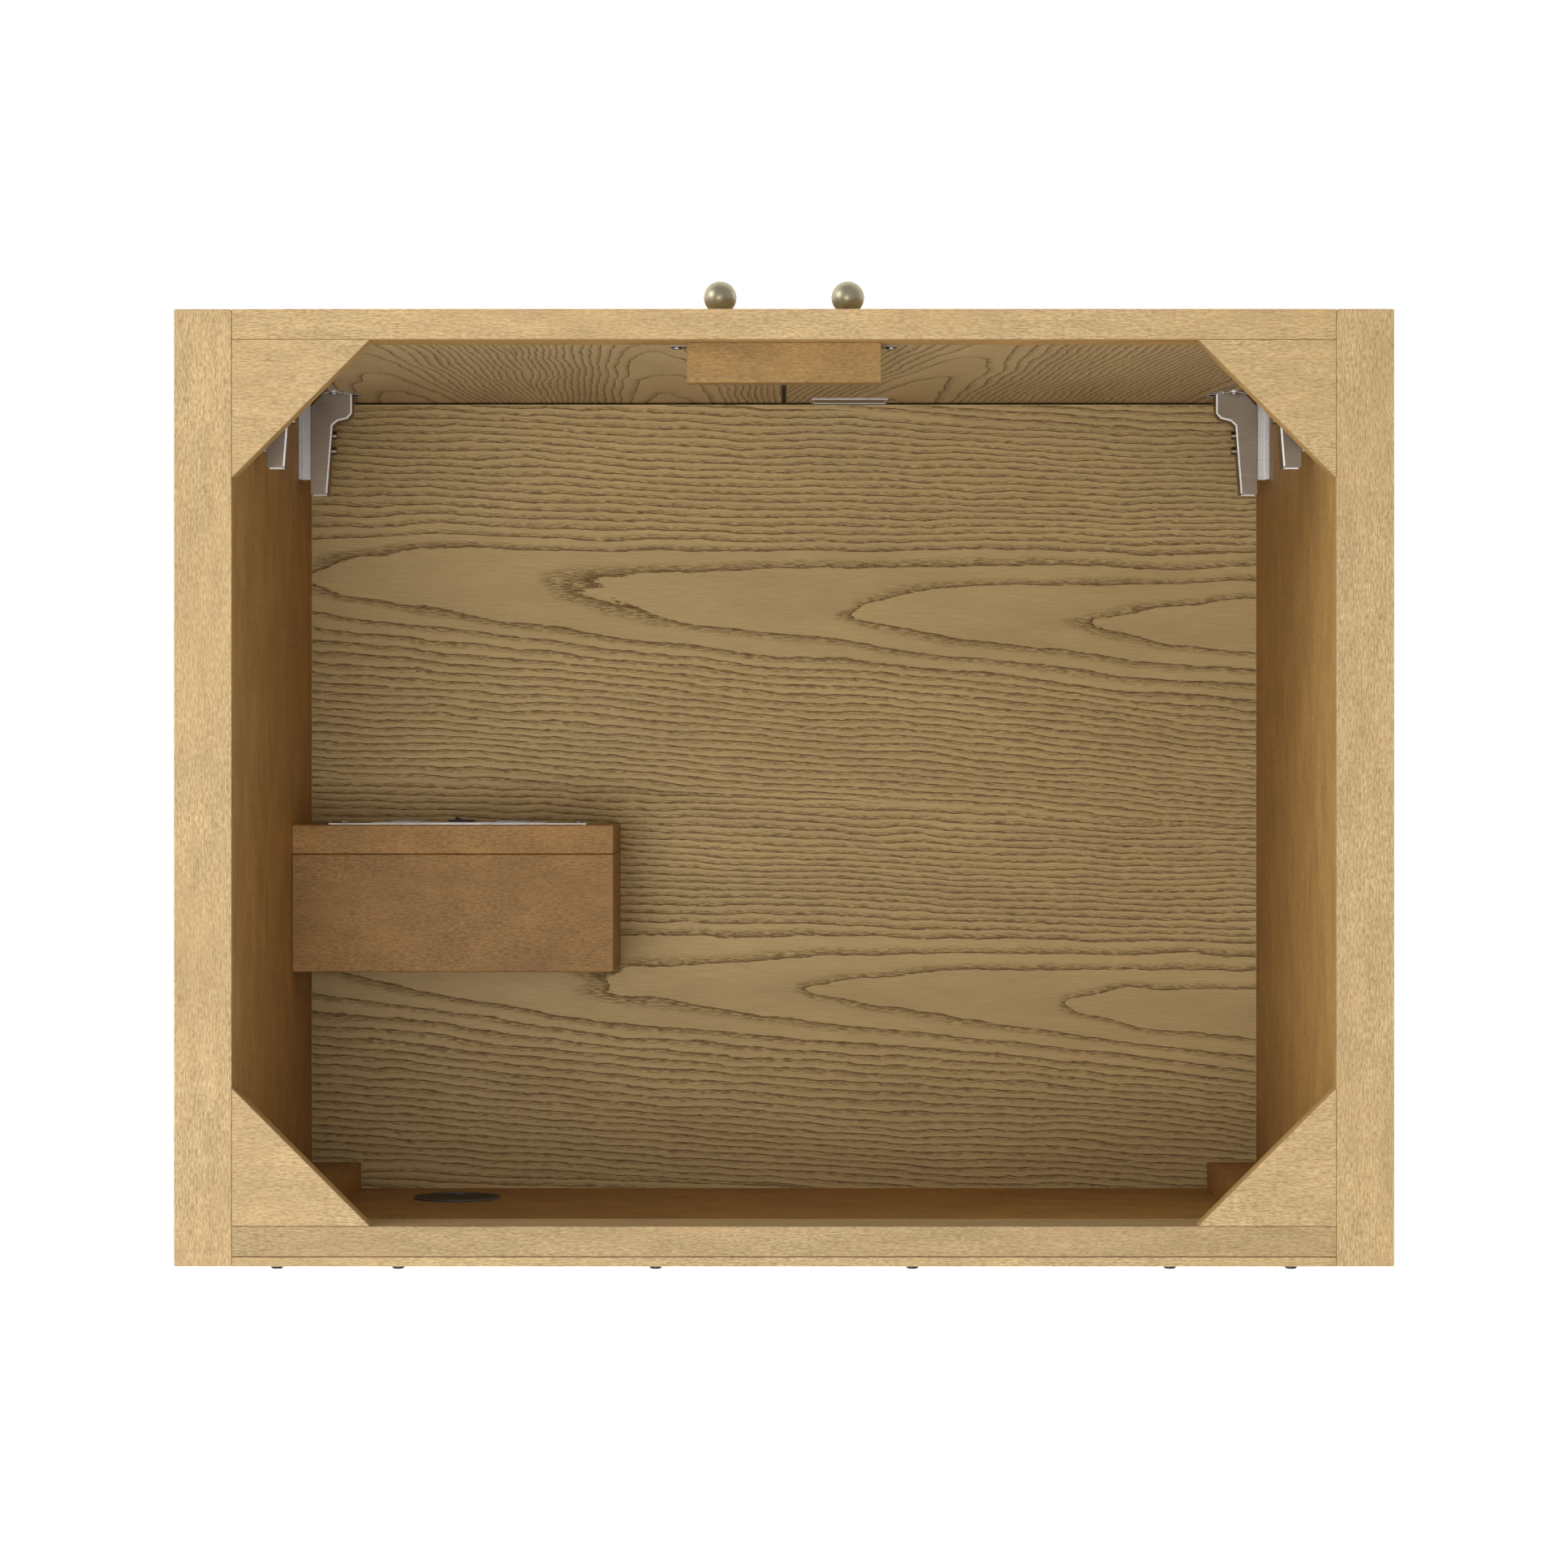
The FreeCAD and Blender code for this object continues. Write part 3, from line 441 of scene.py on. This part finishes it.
def brushed_grooves(tree, along, across, ring, off_heart, bite, seed):
    """The open pores of each year: a broken dark edge, then short dashes that thin out."""
    squeeze = graded(tree, off_heart, 0.0, CALM_WIDTH, 0.08, 1.0)
    weight = noise(tree, stretched(tree, along, across, *WEIGHT_SCALE, seed), 2.0)
    width = graded(tree, weight, 0.3, 0.7, *(share * bite for share in EDGE_WIDTHS))
    width = maths(tree, "MULTIPLY", squeeze, width)
    before = maths(tree, "MULTIPLY_ADD", width, -0.2, 1.0)
    rise = graded(tree, ring, before, 1.0)
    edge = maths(tree, "MAXIMUM", graded(tree, ring, 0.0, width, 1.0, 0.0), rise)
    strokes = noise(tree, stretched(tree, along, across, *STROKE_SCALE, seed), 3.0, 0.6)
    edge = maths(tree, "MULTIPLY", edge, graded(tree, strokes, 0.40, 0.58, EDGE_ALONE, 1.0))
    dashes = noise(tree, stretched(tree, along, across, *DASH_SCALE, seed), 2.0, 0.6)
    reach = maths(tree, "MULTIPLY", squeeze, PORE_REACH)
    fading = graded(tree, ring, 0.0, reach, PORE_STRENGTH, 0.0)
    pores = maths(tree, "MULTIPLY", fading, graded(tree, dashes, 0.50, 0.60))
    return maths(tree, "MAXIMUM", edge, pores)


print("a year's edge takes up to", round(EDGE_WIDTHS[1] * 100), "% of its ring")

# %% Make the oak finish
CLOUD_SCALE = (5.0, 26.0)
OAK_FIBRE_SCALE = (45.0, 1100.0)
FIBRE_STRENGTH = 0.26
EARLY_WOOD = (0.45, 0.22)
OAK_SHINE = (0.46, 0.70)
FIBRE_RELIEF = 0.12
GROOVE_DEPTH = 0.0006


def oak_finish(board, grain, heart, lean, leaf_width, crowding, bite, tone, seed):
    """Wire-brushed oak; grain names the axes along and across it, 0 for X to 2 for Z."""
    material, tree, surface = new_finish("oak_" + board, 0.5)
    surface.inputs["Specular IOR Level"].default_value = LACQUER_GLOSS
    along, across = veneer_coords(tree, grain, heart, lean)
    years, off_heart = count_years(tree, along, across, leaf_width, crowding, seed)
    ring = maths(tree, "FRACT", years)
    veneered = away_from_edges(tree, board, grain)
    groove = brushed_grooves(tree, along, across, ring, off_heart, bite, seed)
    groove = maths(tree, "MULTIPLY", groove, veneered)
    cloud = noise(tree, stretched(tree, along, across, *CLOUD_SCALE, seed), 3.0, 0.6)
    fibres = noise(tree, stretched(tree, along, across, *OAK_FIBRE_SCALE, seed + 9.0), 3.0, 0.6)
    fibres = graded(tree, fibres, 0.40, 0.64)
    face, light = [tuple(c * t for c, t in zip(wood, tone)) + (1.0,) for wood in (OAK_FACE, OAK_LIGHT)]
    colour = blend(tree, graded(tree, cloud, 0.3, 0.7), face, light)
    colour = blend(tree, maths(tree, "MULTIPLY", fibres, FIBRE_STRENGTH), colour, OAK_STREAK)
    early = graded(tree, ring, 0.0, EARLY_WOOD[0], EARLY_WOOD[1], 0.0)
    colour = blend(tree, maths(tree, "MULTIPLY", early, veneered), colour, OAK_STREAK)
    colour = blend(tree, groove, colour, OAK_GROOVE)
    tree.links.new(colour, surface.inputs["Base Color"])
    tree.links.new(graded(tree, groove, 0.0, 1.0, *OAK_SHINE), surface.inputs["Roughness"])
    height = maths(tree, "SUBTRACT", 1.0, maths(tree, "MULTIPLY_ADD", fibres, FIBRE_RELIEF, groove))
    dented(tree, surface, height, GROOVE_DEPTH, 0.9)
    return material


print("oak finish ready, with grooves", GROOVE_DEPTH * 1000, "mm deep")

# %% Dress the floor panel and the doors
VENEERS = {
    "floor_panel": {"grain": (0, 1), "heart": -0.135, "lean": 0.05, "leaf_width": FLOOR_LEAF,
                    "crowding": 0.96, "bite": 0.95, "tone": (1.0, 1.0, 1.0), "seed": 1.0},
    "door_left": {"grain": (2, 0), "heart": -0.080, "lean": 0.12, "leaf_width": 0.440,
                  "crowding": 1.02, "bite": 1.3, "tone": (1.06, 1.11, 1.34), "seed": 11.0},
    "door_right": {"grain": (2, 0), "heart": 0.081, "lean": 0.0, "leaf_width": 0.196,
                   "crowding": 1.25, "bite": 1.3, "tone": (1.09, 1.14, 1.40), "seed": 17.0},
}
for board, cut in VENEERS.items():
    dress(board, oak_finish(board, **cut))
print("floor panel and doors dressed in oak")

# %% [markdown]
# ## Metal and plastic
#
# Pressed steel for hinges is nickel plated: warm grey, fairly smooth, with faint marks from
# rolling. One maker serves all the metals, with a colour, a roughness and the length of
# its marks. The bright edge is a painted highlight: a nearly white, matt finish on rounded
# edges where they would catch the light, so it hardly mirrors. The plastics have the fine even
# grain of a spark-eroded mould.

# %% Makers for metal and plastic
ROLLED_MARKS = (60.0, 1800.0, 1800.0)
TURNED_MARKS = (200.0, 200.0, 200.0)
SMUDGE_SCALE = (45.0, 45.0, 45.0)
MOULD_SCALE = (2600.0, 2600.0, 2600.0)
CLOUDING_SCALE = (60.0, 60.0, 60.0)
DARKER = 0.8


def darker(colour):
    """A slightly darker version of a colour."""
    return tuple(channel * DARKER for channel in colour[:3]) + (1.0,)


def metal_finish(name, colour, roughness, marks=ROLLED_MARKS, metallic=1.0):
    """Metal with faint marks along X and small changes of shine."""
    material, tree, surface = new_finish(name, roughness, metallic)
    lines = noise(tree, placed(tree, marks), 3.0, 0.6)
    smudge = noise(tree, placed(tree, SMUDGE_SCALE), 3.0, 0.55)
    mixed = blend(tree, graded(tree, lines, 0.3, 0.7), darker(colour), colour)
    tree.links.new(mixed, surface.inputs["Base Color"])
    shine = graded(tree, smudge, 0.3, 0.7, roughness - 0.06, roughness + 0.08)
    tree.links.new(shine, surface.inputs["Roughness"])
    dented(tree, surface, lines, 0.00002, 0.5)
    return material


def plastic_finish(name, colour, roughness, gloss=0.5):
    """Moulded plastic with a fine even grain."""
    material, tree, surface = new_finish(name, roughness)
    surface.inputs["Specular IOR Level"].default_value = gloss
    grain = noise(tree, placed(tree, MOULD_SCALE), 2.0, 0.5)
    cloud = noise(tree, placed(tree, CLOUDING_SCALE), 2.0, 0.5)
    mixed = blend(tree, graded(tree, cloud, 0.3, 0.7), darker(colour), colour)
    tree.links.new(mixed, surface.inputs["Base Color"])
    shine = graded(tree, grain, 0.3, 0.7, roughness - 0.05, roughness + 0.07)
    tree.links.new(shine, surface.inputs["Roughness"])
    dented(tree, surface, grain, 0.00003, 0.5)
    return material


print("metal and plastic makers ready")

# %% Make each metal and plastic
HINGE_STEEL = metal_finish("nickel_steel", (0.245, 0.196, 0.148, 1.0), 0.36)
# a painted highlight: white and matt, for rounded edges that catch the light
EDGE_HIGHLIGHT = metal_finish("painted_highlight", (1.00, 1.00, 1.00, 1.0), 0.40, metallic=0.0)
ZINC = metal_finish("zinc_steel", (0.50, 0.49, 0.48, 1.0), 0.38)
PLATE_STEEL = metal_finish("brushed_plate", (0.50, 0.48, 0.47, 1.0), 0.36)
BADGE_METAL = metal_finish("satin_aluminium", (0.32, 0.29, 0.26, 1.0), 0.48)
BRASS = metal_finish("champagne_brass", (0.355, 0.318, 0.218, 1.0), 0.38, TURNED_MARKS)
MAGNET = metal_finish("pole_steel", (0.38, 0.38, 0.39, 1.0), 0.4)
BLACK_STEEL = metal_finish("black_screw", (0.05, 0.048, 0.046, 1.0), 0.42)
BLACK_PLASTIC = plastic_finish("black_plastic", (0.022, 0.021, 0.023, 1.0), 0.46, 0.15)
# a painted highlight for the grommet ring's rounded rim
RIM_HIGHLIGHT_PLASTIC = plastic_finish("rim_highlight_plastic", (0.130, 0.125, 0.125, 1.0), 0.34)
GREY_PLASTIC = plastic_finish("grey_plastic", (0.34, 0.32, 0.31, 1.0), 0.40)
print("metals and plastics ready")

# %% [markdown]
# ## Rounded edges on the fittings
#
# The frame's fittings have the right form but knife-sharp edges, and real pressed or
# moulded edges catch the light. Each fitting is copied, its loose triangles are merged, the
# flat ones are joined into whole faces, and a bevel rounds every sharp edge. On some fittings
# the bevel's faces take a second, brighter finish, a painted highlight where the edge catches
# the light. A hinge arm is a pressed channel, and its painted highlight is a line along the bend
# on the inner side. There the top face is inset, and the strip that this leaves on the bend's
# side takes the bright finish. Normals are then weighted by face size, so that a wide flat face
# shades as flat right up to its edge. The copy stands in for the frame's node and rides on the
# same body.

# %% Helpers for pieces
WELD = 0.000005
FLAT_ANGLE = math.radians(1)
SMOOTH_ANGLE = math.radians(35)
SHARP_ANGLE = math.radians(40)
EDGE_SEGMENTS = 3
BODIES = frame["record"]["behaviour"]["bodies"]
BODY_OF = {node: body for body, members in BODIES.items() for node in members}


def pick(piece):
    """Deselect everything, then select one piece and make it active."""
    if bpy.context.object and bpy.context.object.mode != "OBJECT":
        bpy.ops.object.mode_set(mode="OBJECT")
    bpy.ops.object.select_all(action="DESELECT")
    piece.select_set(True)
    bpy.context.view_layer.objects.active = piece


def wear(piece, *finishes):
    """Give a piece its finishes, the main one first."""
    piece.data.materials.clear()
    for finish in finishes:
        piece.data.materials.append(finish)


def settle(piece, node):
    """Finish a piece: place in its mesh, shading by angle, a body to ride on, and the node it stands
    for hidden.
    """
    pick(piece)
    bpy.ops.object.transform_apply(location=True, rotation=True, scale=True)
    bpy.ops.object.shade_smooth_by_angle(angle=SMOOTH_ANGLE)
    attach(piece, BODY_OF[node])
    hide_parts(node)
    return piece


def select_faces(piece, wanted):
    """In edit mode, select only the faces whose centre passes a test."""
    bpy.ops.object.mode_set(mode="EDIT")
    bpy.ops.mesh.select_mode(type="FACE")
    bpy.ops.mesh.select_all(action="DESELECT")
    bpy.ops.object.mode_set(mode="OBJECT")
    for face in piece.data.polygons:
        face.select = wanted(face.center)
    bpy.ops.object.mode_set(mode="EDIT")


def weld(piece):
    """Merge a copied node's loose triangles."""
    pick(piece)
    bpy.ops.object.mode_set(mode="EDIT")
    bpy.ops.mesh.select_all(action="SELECT")
    bpy.ops.mesh.remove_doubles(threshold=WELD)


# %% Paint a highlight along the bend of a pressed arm
SAME_LEVEL = 0.0001
FACES_UP = 0.9
STANDS_UP = 0.5
FACES_IN = 0.2
SQUARE_END = 0.995


def highlight_bend(piece, width):
    """Mark a strip of a pressed arm's top face, along its bend, for the painted highlight."""
    top = max(corner[2] for corner in piece.bound_box)
    select_faces(piece, lambda c: c.z > top - SAME_LEVEL)
    bpy.ops.mesh.inset(thickness=width, depth=0.0)
    bpy.ops.object.mode_set(mode="OBJECT")
    mesh = piece.data
    walls = {key: face.normal.copy() for face in mesh.polygons
             if abs(face.normal.z) < STANDS_UP for key in face.edge_keys}
    for face in mesh.polygons:
        inward = -math.copysign(1.0, face.center.x)
        for wall in (walls[key] for key in face.edge_keys if key in walls):
            on_bend = inward * wall.x + wall.y > FACES_IN and wall.y < SQUARE_END
            if face.normal.z > FACES_UP and not face.select and on_bend:
                face.material_index = 1


print("a bend runs along the arm's inner side, but not round its square end")

# %% Round a fitting
def bevel_edges(piece, radius, material_index):
    """Round every sharp edge of a piece."""
    edge = piece.modifiers.new("edge", "BEVEL")
    edge.width = radius
    edge.segments = EDGE_SEGMENTS
    edge.material = material_index
    edge.limit_method = "ANGLE"
    edge.angle_limit = SHARP_ANGLE
    edge.use_clamp_overlap = True
    bpy.ops.object.modifier_apply(modifier=edge.name)


def rounded(node, finish, radius, highlight_finish=None, bend=0.0):
    """A copy of a frame node with rounded edges, with a painted highlight there or along its bend if
    asked.
    """
    piece = bpy.data.objects.new(node + "_rounded", NODES[node].data.copy())
    bpy.context.scene.collection.objects.link(piece)
    wear(piece, finish, highlight_finish or finish)
    weld(piece)
    bpy.ops.mesh.dissolve_limited(angle_limit=FLAT_ANGLE)
    bpy.ops.object.mode_set(mode="OBJECT")
    if bend:
        highlight_bend(piece, bend)
    bevel_edges(piece, radius, -1 if bend else 1)
    settle(piece, node)
    level = piece.modifiers.new("level", "WEIGHTED_NORMAL")
    level.keep_sharp = True
    bpy.ops.object.modifier_apply(modifier=level.name)
    return piece


print("edges are rounded where they turn more than", round(math.degrees(SHARP_ANGLE)), "degrees")

# %% Round the fittings
BEND_WIDTH = 0.0012
HINGES = [f"{side}_{level}" for side in ("left", "right") for level in ("lower", "upper")]
for hinge in HINGES:
    rounded("hinge_arm_" + hinge, HINGE_STEEL, 0.0003, EDGE_HIGHLIGHT, BEND_WIDTH)
    rounded("hinge_cup_" + hinge, ZINC, 0.0004, EDGE_HIGHLIGHT)
    rounded("hinge_plate_" + hinge, ZINC, 0.0004, EDGE_HIGHLIGHT)
PAIRED_FITTINGS = (
    ("hinge_links_", HINGE_STEEL, 0.0004),
    ("strike_plate_", HINGE_STEEL, 0.0003),
    ("catch_", BLACK_PLASTIC, 0.0003),
    ("outlet_", GREY_PLASTIC, 0.0004),
    ("knob_screw_", ZINC, 0.0002),
    ("door_screws_", ZINC, 0.0002),
)
for side in ("left", "right"):
    for name, finish, radius in PAIRED_FITTINGS:
        rounded(name + side, finish, radius)
SINGLE_FITTINGS = (
    ("outlet_plate", PLATE_STEEL, 0.0003, EDGE_HIGHLIGHT),
    ("badge_plate", BADGE_METAL, 0.0002, EDGE_HIGHLIGHT),
    ("grommet_ring", BLACK_PLASTIC, 0.0003, RIM_HIGHLIGHT_PLASTIC),
    ("grommet_cap", BLACK_PLASTIC, 0.0005),
    ("switch_housing", BLACK_PLASTIC, 0.0003),
    ("rocker_switch", BLACK_PLASTIC, 0.0005),
    ("catch_magnets", MAGNET, 0.0002),
    ("wiring_box", ZINC, 0.0003),
    ("catch_screws", ZINC, 0.0002),
    ("hinge_plate_screws", ZINC, 0.0002),
    ("hinge_adjusting_screws", HINGE_STEEL, 0.0002),
    ("outlet_plate_screws", ZINC, 0.0002),
)
for fitting in SINGLE_FITTINGS:
    rounded(*fitting)
print("fittings rounded for", len(HINGES), "hinges")

# %% [markdown]
# ## Ball knobs
#
# Each knob is turned from one bar: a ball, a short neck and a small foot against the door.
# A sphere with its pole towards the door is nearly there already. The pole's faces are
# deleted, and the open ring is extruded, drawn in and flared, the way a turner would cut
# the neck. The second knob is a copy of the first.

# %% Turn the knobs
KNOB_LOW, KNOB_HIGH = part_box("knob_right")
BALL_R = (KNOB_HIGH.z - KNOB_LOW.z) / 2
NECK_R = 0.0034
FOOT_R = 0.0050
KNOB_MIDDLE = (KNOB_LOW + KNOB_HIGH) / 2
BALL_CENTRE = Vector((KNOB_MIDDLE.x, KNOB_LOW.y + BALL_R, KNOB_MIDDLE.z))
DOOR_FACE = KNOB_HIGH.y
NECK_PROFILE = ((0.12, NECK_R), (0.48, NECK_R), (0.12, NECK_R * 1.12),
                (0.06, FOOT_R * 0.96), (0.05, FOOT_R), (0.17, FOOT_R))


def open_pole(ball):
    """Delete a ball's faces nearest the door and leave the rim selected; gives its y and radius."""
    reach = math.sqrt(BALL_R ** 2 - NECK_R ** 2)
    select_faces(ball, lambda c: c.y > BALL_CENTRE.y + reach)
    bpy.ops.mesh.delete(type="FACE")
    bpy.ops.mesh.select_mode(type="EDGE")
    bpy.ops.mesh.select_all(action="DESELECT")
    bpy.ops.mesh.select_non_manifold()
    bpy.ops.object.mode_set(mode="OBJECT")
    rim = [v.co.copy() for v in ball.data.vertices if v.select]
    rim_r = max(math.hypot(co.x - BALL_CENTRE.x, co.z - BALL_CENTRE.z) for co in rim)
    bpy.ops.object.mode_set(mode="EDIT")
    return rim[0].y, rim_r


def turn_knob():
    """The right-hand knob."""
    bpy.ops.object.select_all(action="DESELECT")
    bpy.ops.mesh.primitive_uv_sphere_add(segments=64, ring_count=40, radius=BALL_R,
                                         location=BALL_CENTRE, rotation=(-QUARTER, 0.0, 0.0))
    knob = bpy.context.object
    knob.name = "ball_knob_right"
    bpy.ops.object.transform_apply(location=True, rotation=True, scale=True)
    rim_y, ring_r = open_pole(knob)
    for share, radius in NECK_PROFILE:
        push = (DOOR_FACE - rim_y) * share
        bpy.ops.mesh.extrude_region_move(TRANSFORM_OT_translate={"value": (0.0, push, 0.0)})
        bpy.ops.transform.resize(value=(radius / ring_r, 1.0, radius / ring_r),
                                 center_override=BALL_CENTRE)
        ring_r = radius
    bpy.ops.mesh.edge_face_add()
    bpy.ops.object.mode_set(mode="OBJECT")
    return knob


right_knob = turn_knob()
left_knob = right_knob.copy()
left_knob.data = right_knob.data.copy()
left_knob.name = "ball_knob_left"
bpy.context.scene.collection.objects.link(left_knob)
left_knob.location.x = -2 * BALL_CENTRE.x
for knob, node in ((right_knob, "knob_right"), (left_knob, "knob_left")):
    wear(knob, BRASS)
    settle(knob, node)
print("knob ball is", round(BALL_R * 2000, 1), "mm across")

# %% [markdown]
# ## Black screws along the back
#
# The back panel is held by pan-head screws with a cross recess. One head is made from a
# short cylinder whose top rim is beveled into a dome, and the recess is a cross cut out of
# it with a boolean. The head is then copied to each screw's place and the copies are joined.

# %% Make the screw heads
HEAD_R = 0.0040
HEAD_T = 0.0028
RECESS_LONG = 0.0042
RECESS_WIDE = 0.0010
RECESS_DEEP = 0.0012


def cross_cutter(y):
    """Two crossed bars that cut the recess."""
    bars = []
    for size in ((RECESS_LONG, RECESS_WIDE), (RECESS_WIDE, RECESS_LONG)):
        bpy.ops.mesh.primitive_cube_add(size=1.0, location=(0.0, y, 0.0))
        bar = bpy.context.object
        bar.scale = (size[0], 2 * RECESS_DEEP, size[1])
        bpy.ops.object.transform_apply(location=True, rotation=True, scale=True)
        bars.append(bar)
    return bars


def make_head():
    """One screw head at the origin, its seat at y = 0 and its dome towards +Y."""
    bpy.ops.object.select_all(action="DESELECT")
    bpy.ops.mesh.primitive_cylinder_add(vertices=32, radius=HEAD_R, depth=HEAD_T,
                                        location=(0.0, HEAD_T / 2, 0.0), rotation=(QUARTER, 0.0, 0.0))
    head = bpy.context.object
    bpy.ops.object.transform_apply(location=True, rotation=True, scale=True)
    select_faces(head, lambda c: c.y > HEAD_T * 0.99)
    bpy.ops.mesh.bevel(offset=HEAD_T * 0.55, segments=4, affect="EDGES")
    bpy.ops.object.mode_set(mode="OBJECT")
    for bar in cross_cutter(HEAD_T):
        pick(head)
        cut = head.modifiers.new("recess", "BOOLEAN")
        cut.operation = "DIFFERENCE"
        cut.object = bar
        bpy.ops.object.modifier_apply(modifier=cut.name)
        bpy.data.objects.remove(bar)
    return head


def screw_places(node):
    """The centre of each screw in a node, found from its separate shells."""
    probe = bpy.data.objects.new("probe", NODES[node].data.copy())
    bpy.context.scene.collection.objects.link(probe)
    weld(probe)
    bpy.ops.mesh.separate(type="LOOSE")
    bpy.ops.object.mode_set(mode="OBJECT")
    places = []
    for shell in list(bpy.context.selected_objects):
        corners = [v.co for v in shell.data.vertices]
        low = Vector([min(c[i] for c in corners) for i in range(3)])
        high = Vector([max(c[i] for c in corners) for i in range(3)])
        places.append(((low + high) / 2, low, high))
        bpy.data.objects.remove(shell)
    return places


def set_back_screws():
    """Copy the head to each back panel screw and join the copies."""
    head = make_head()
    heads = []
    for centre, low, high in screw_places("back_panel_screws"):
        copy = head.copy()
        copy.data = head.data.copy()
        bpy.context.scene.collection.objects.link(copy)
        copy.location = (centre.x, high.y - HEAD_T, centre.z)
        copy.rotation_euler = (0.0, 0.7 * len(heads), 0.0)
        heads.append(copy)
    bpy.data.objects.remove(head)
    pick(heads[0])
    for copy in heads[1:]:
        copy.select_set(True)
    bpy.ops.object.join()
    joined = bpy.context.object
    joined.name = "black_pan_screws"
    wear(joined, BLACK_STEEL)
    settle(joined, "back_panel_screws")
    return len(heads)


print(set_back_screws(), "black screw heads set")

# %% [markdown]
# ## Floor and light
#
# The cabinet stands on a plain pale floor, which glows a little so that it stays white. It
# doesn't glow under the cabinet, or light would leak in at the slit under the doors. There it is
# painted dark brown instead, a painted shadow under the cabinet. The light is a wide soft sky
# with three panels. A large one hangs overhead, set a little to the right and to the back. One
# stands low at the right-hand front corner. Its light comes in over the side at a slant, so it
# reaches only the upper part of the left wall and the rear rail. The last stands behind the
# cabinet and lights the backs of the doors.

# %% Lay the floor
FOOT_X = CARCASS_HIGH.x
FOOT_Y = CARCASS_HIGH.y
FLOOR_GLOW = 0.55
FLOOR_PALE = (0.92, 0.92, 0.92, 1.0)
# painted shadow on the floor under the cabinet
FLOOR_PAINTED_SHADOW = (0.16, 0.11, 0.07, 1.0)


def lay_floor():
    """A wide pale floor that isn't part of the cabinet."""
    bpy.ops.object.select_all(action="DESELECT")
    bpy.ops.mesh.primitive_plane_add(size=14.0, location=(0.0, 0.0, -0.0005))
    floor = bpy.context.object
    floor.name = "studio_floor"
    material, tree, surface = new_finish("studio_floor", 0.9)
    surface.inputs["Emission Color"].default_value = (1.0, 1.0, 1.0, 1.0)
    x, y = place_parts(tree)[:2]
    past_side = maths(tree, "GREATER_THAN", maths(tree, "ABSOLUTE", x), FOOT_X)
    past_end = maths(tree, "GREATER_THAN", maths(tree, "ABSOLUTE", y), FOOT_Y)
    outside = maths(tree, "MAXIMUM", past_side, past_end)
    tree.links.new(maths(tree, "MULTIPLY", outside, FLOOR_GLOW), surface.inputs["Emission Strength"])
    # dark under the cabinet: a painted shadow
    tree.links.new(blend(tree, outside, FLOOR_PAINTED_SHADOW, FLOOR_PALE), surface.inputs["Base Color"])
    floor.data.materials.append(material)


lay_floor()
print("floor laid, dark under", round(FOOT_X * 2000), "by", round(FOOT_Y * 2000), "mm")

# %% Hang the lights
def hang_light(name, place, aim, size, power):
    """A square soft light aimed at a point."""
    data = bpy.data.lights.new(name, "AREA")
    data.shape = "SQUARE"
    data.size = size
    data.energy = power
    light = bpy.data.objects.new(name, data)
    bpy.context.scene.collection.objects.link(light)
    light.location = place
    light.rotation_euler = (Vector(aim) - Vector(place)).to_track_quat("-Z", "Y").to_euler()


def fill_sky(strength):
    """An even white sky."""
    world = bpy.data.worlds.new("studio_sky")
    world.use_nodes = True
    background = world.node_tree.nodes["Background"]
    background.inputs["Color"].default_value = (1.0, 1.0, 1.0, 1.0)
    background.inputs["Strength"].default_value = strength
    bpy.context.scene.world = world


fill_sky(0.65)
hang_light("overhead_panel", (0.42, 0.36, 3.2), (0.0, 0.0, 0.3), 1.3, 42.5)
hang_light("low_panel", (2.3, -1.2, 1.3), (-0.3, 0.0, 0.4), 1.0, 32.0)
hang_light("rear_panel", (0.2, 2.2, 1.9), (0.0, -0.3, 0.3), 1.0, 17.0)
bpy.context.scene.view_settings.view_transform = "Standard"
print("sky and three panels lit")

# %% [markdown]
# ## Finish


print("cabinet finished")
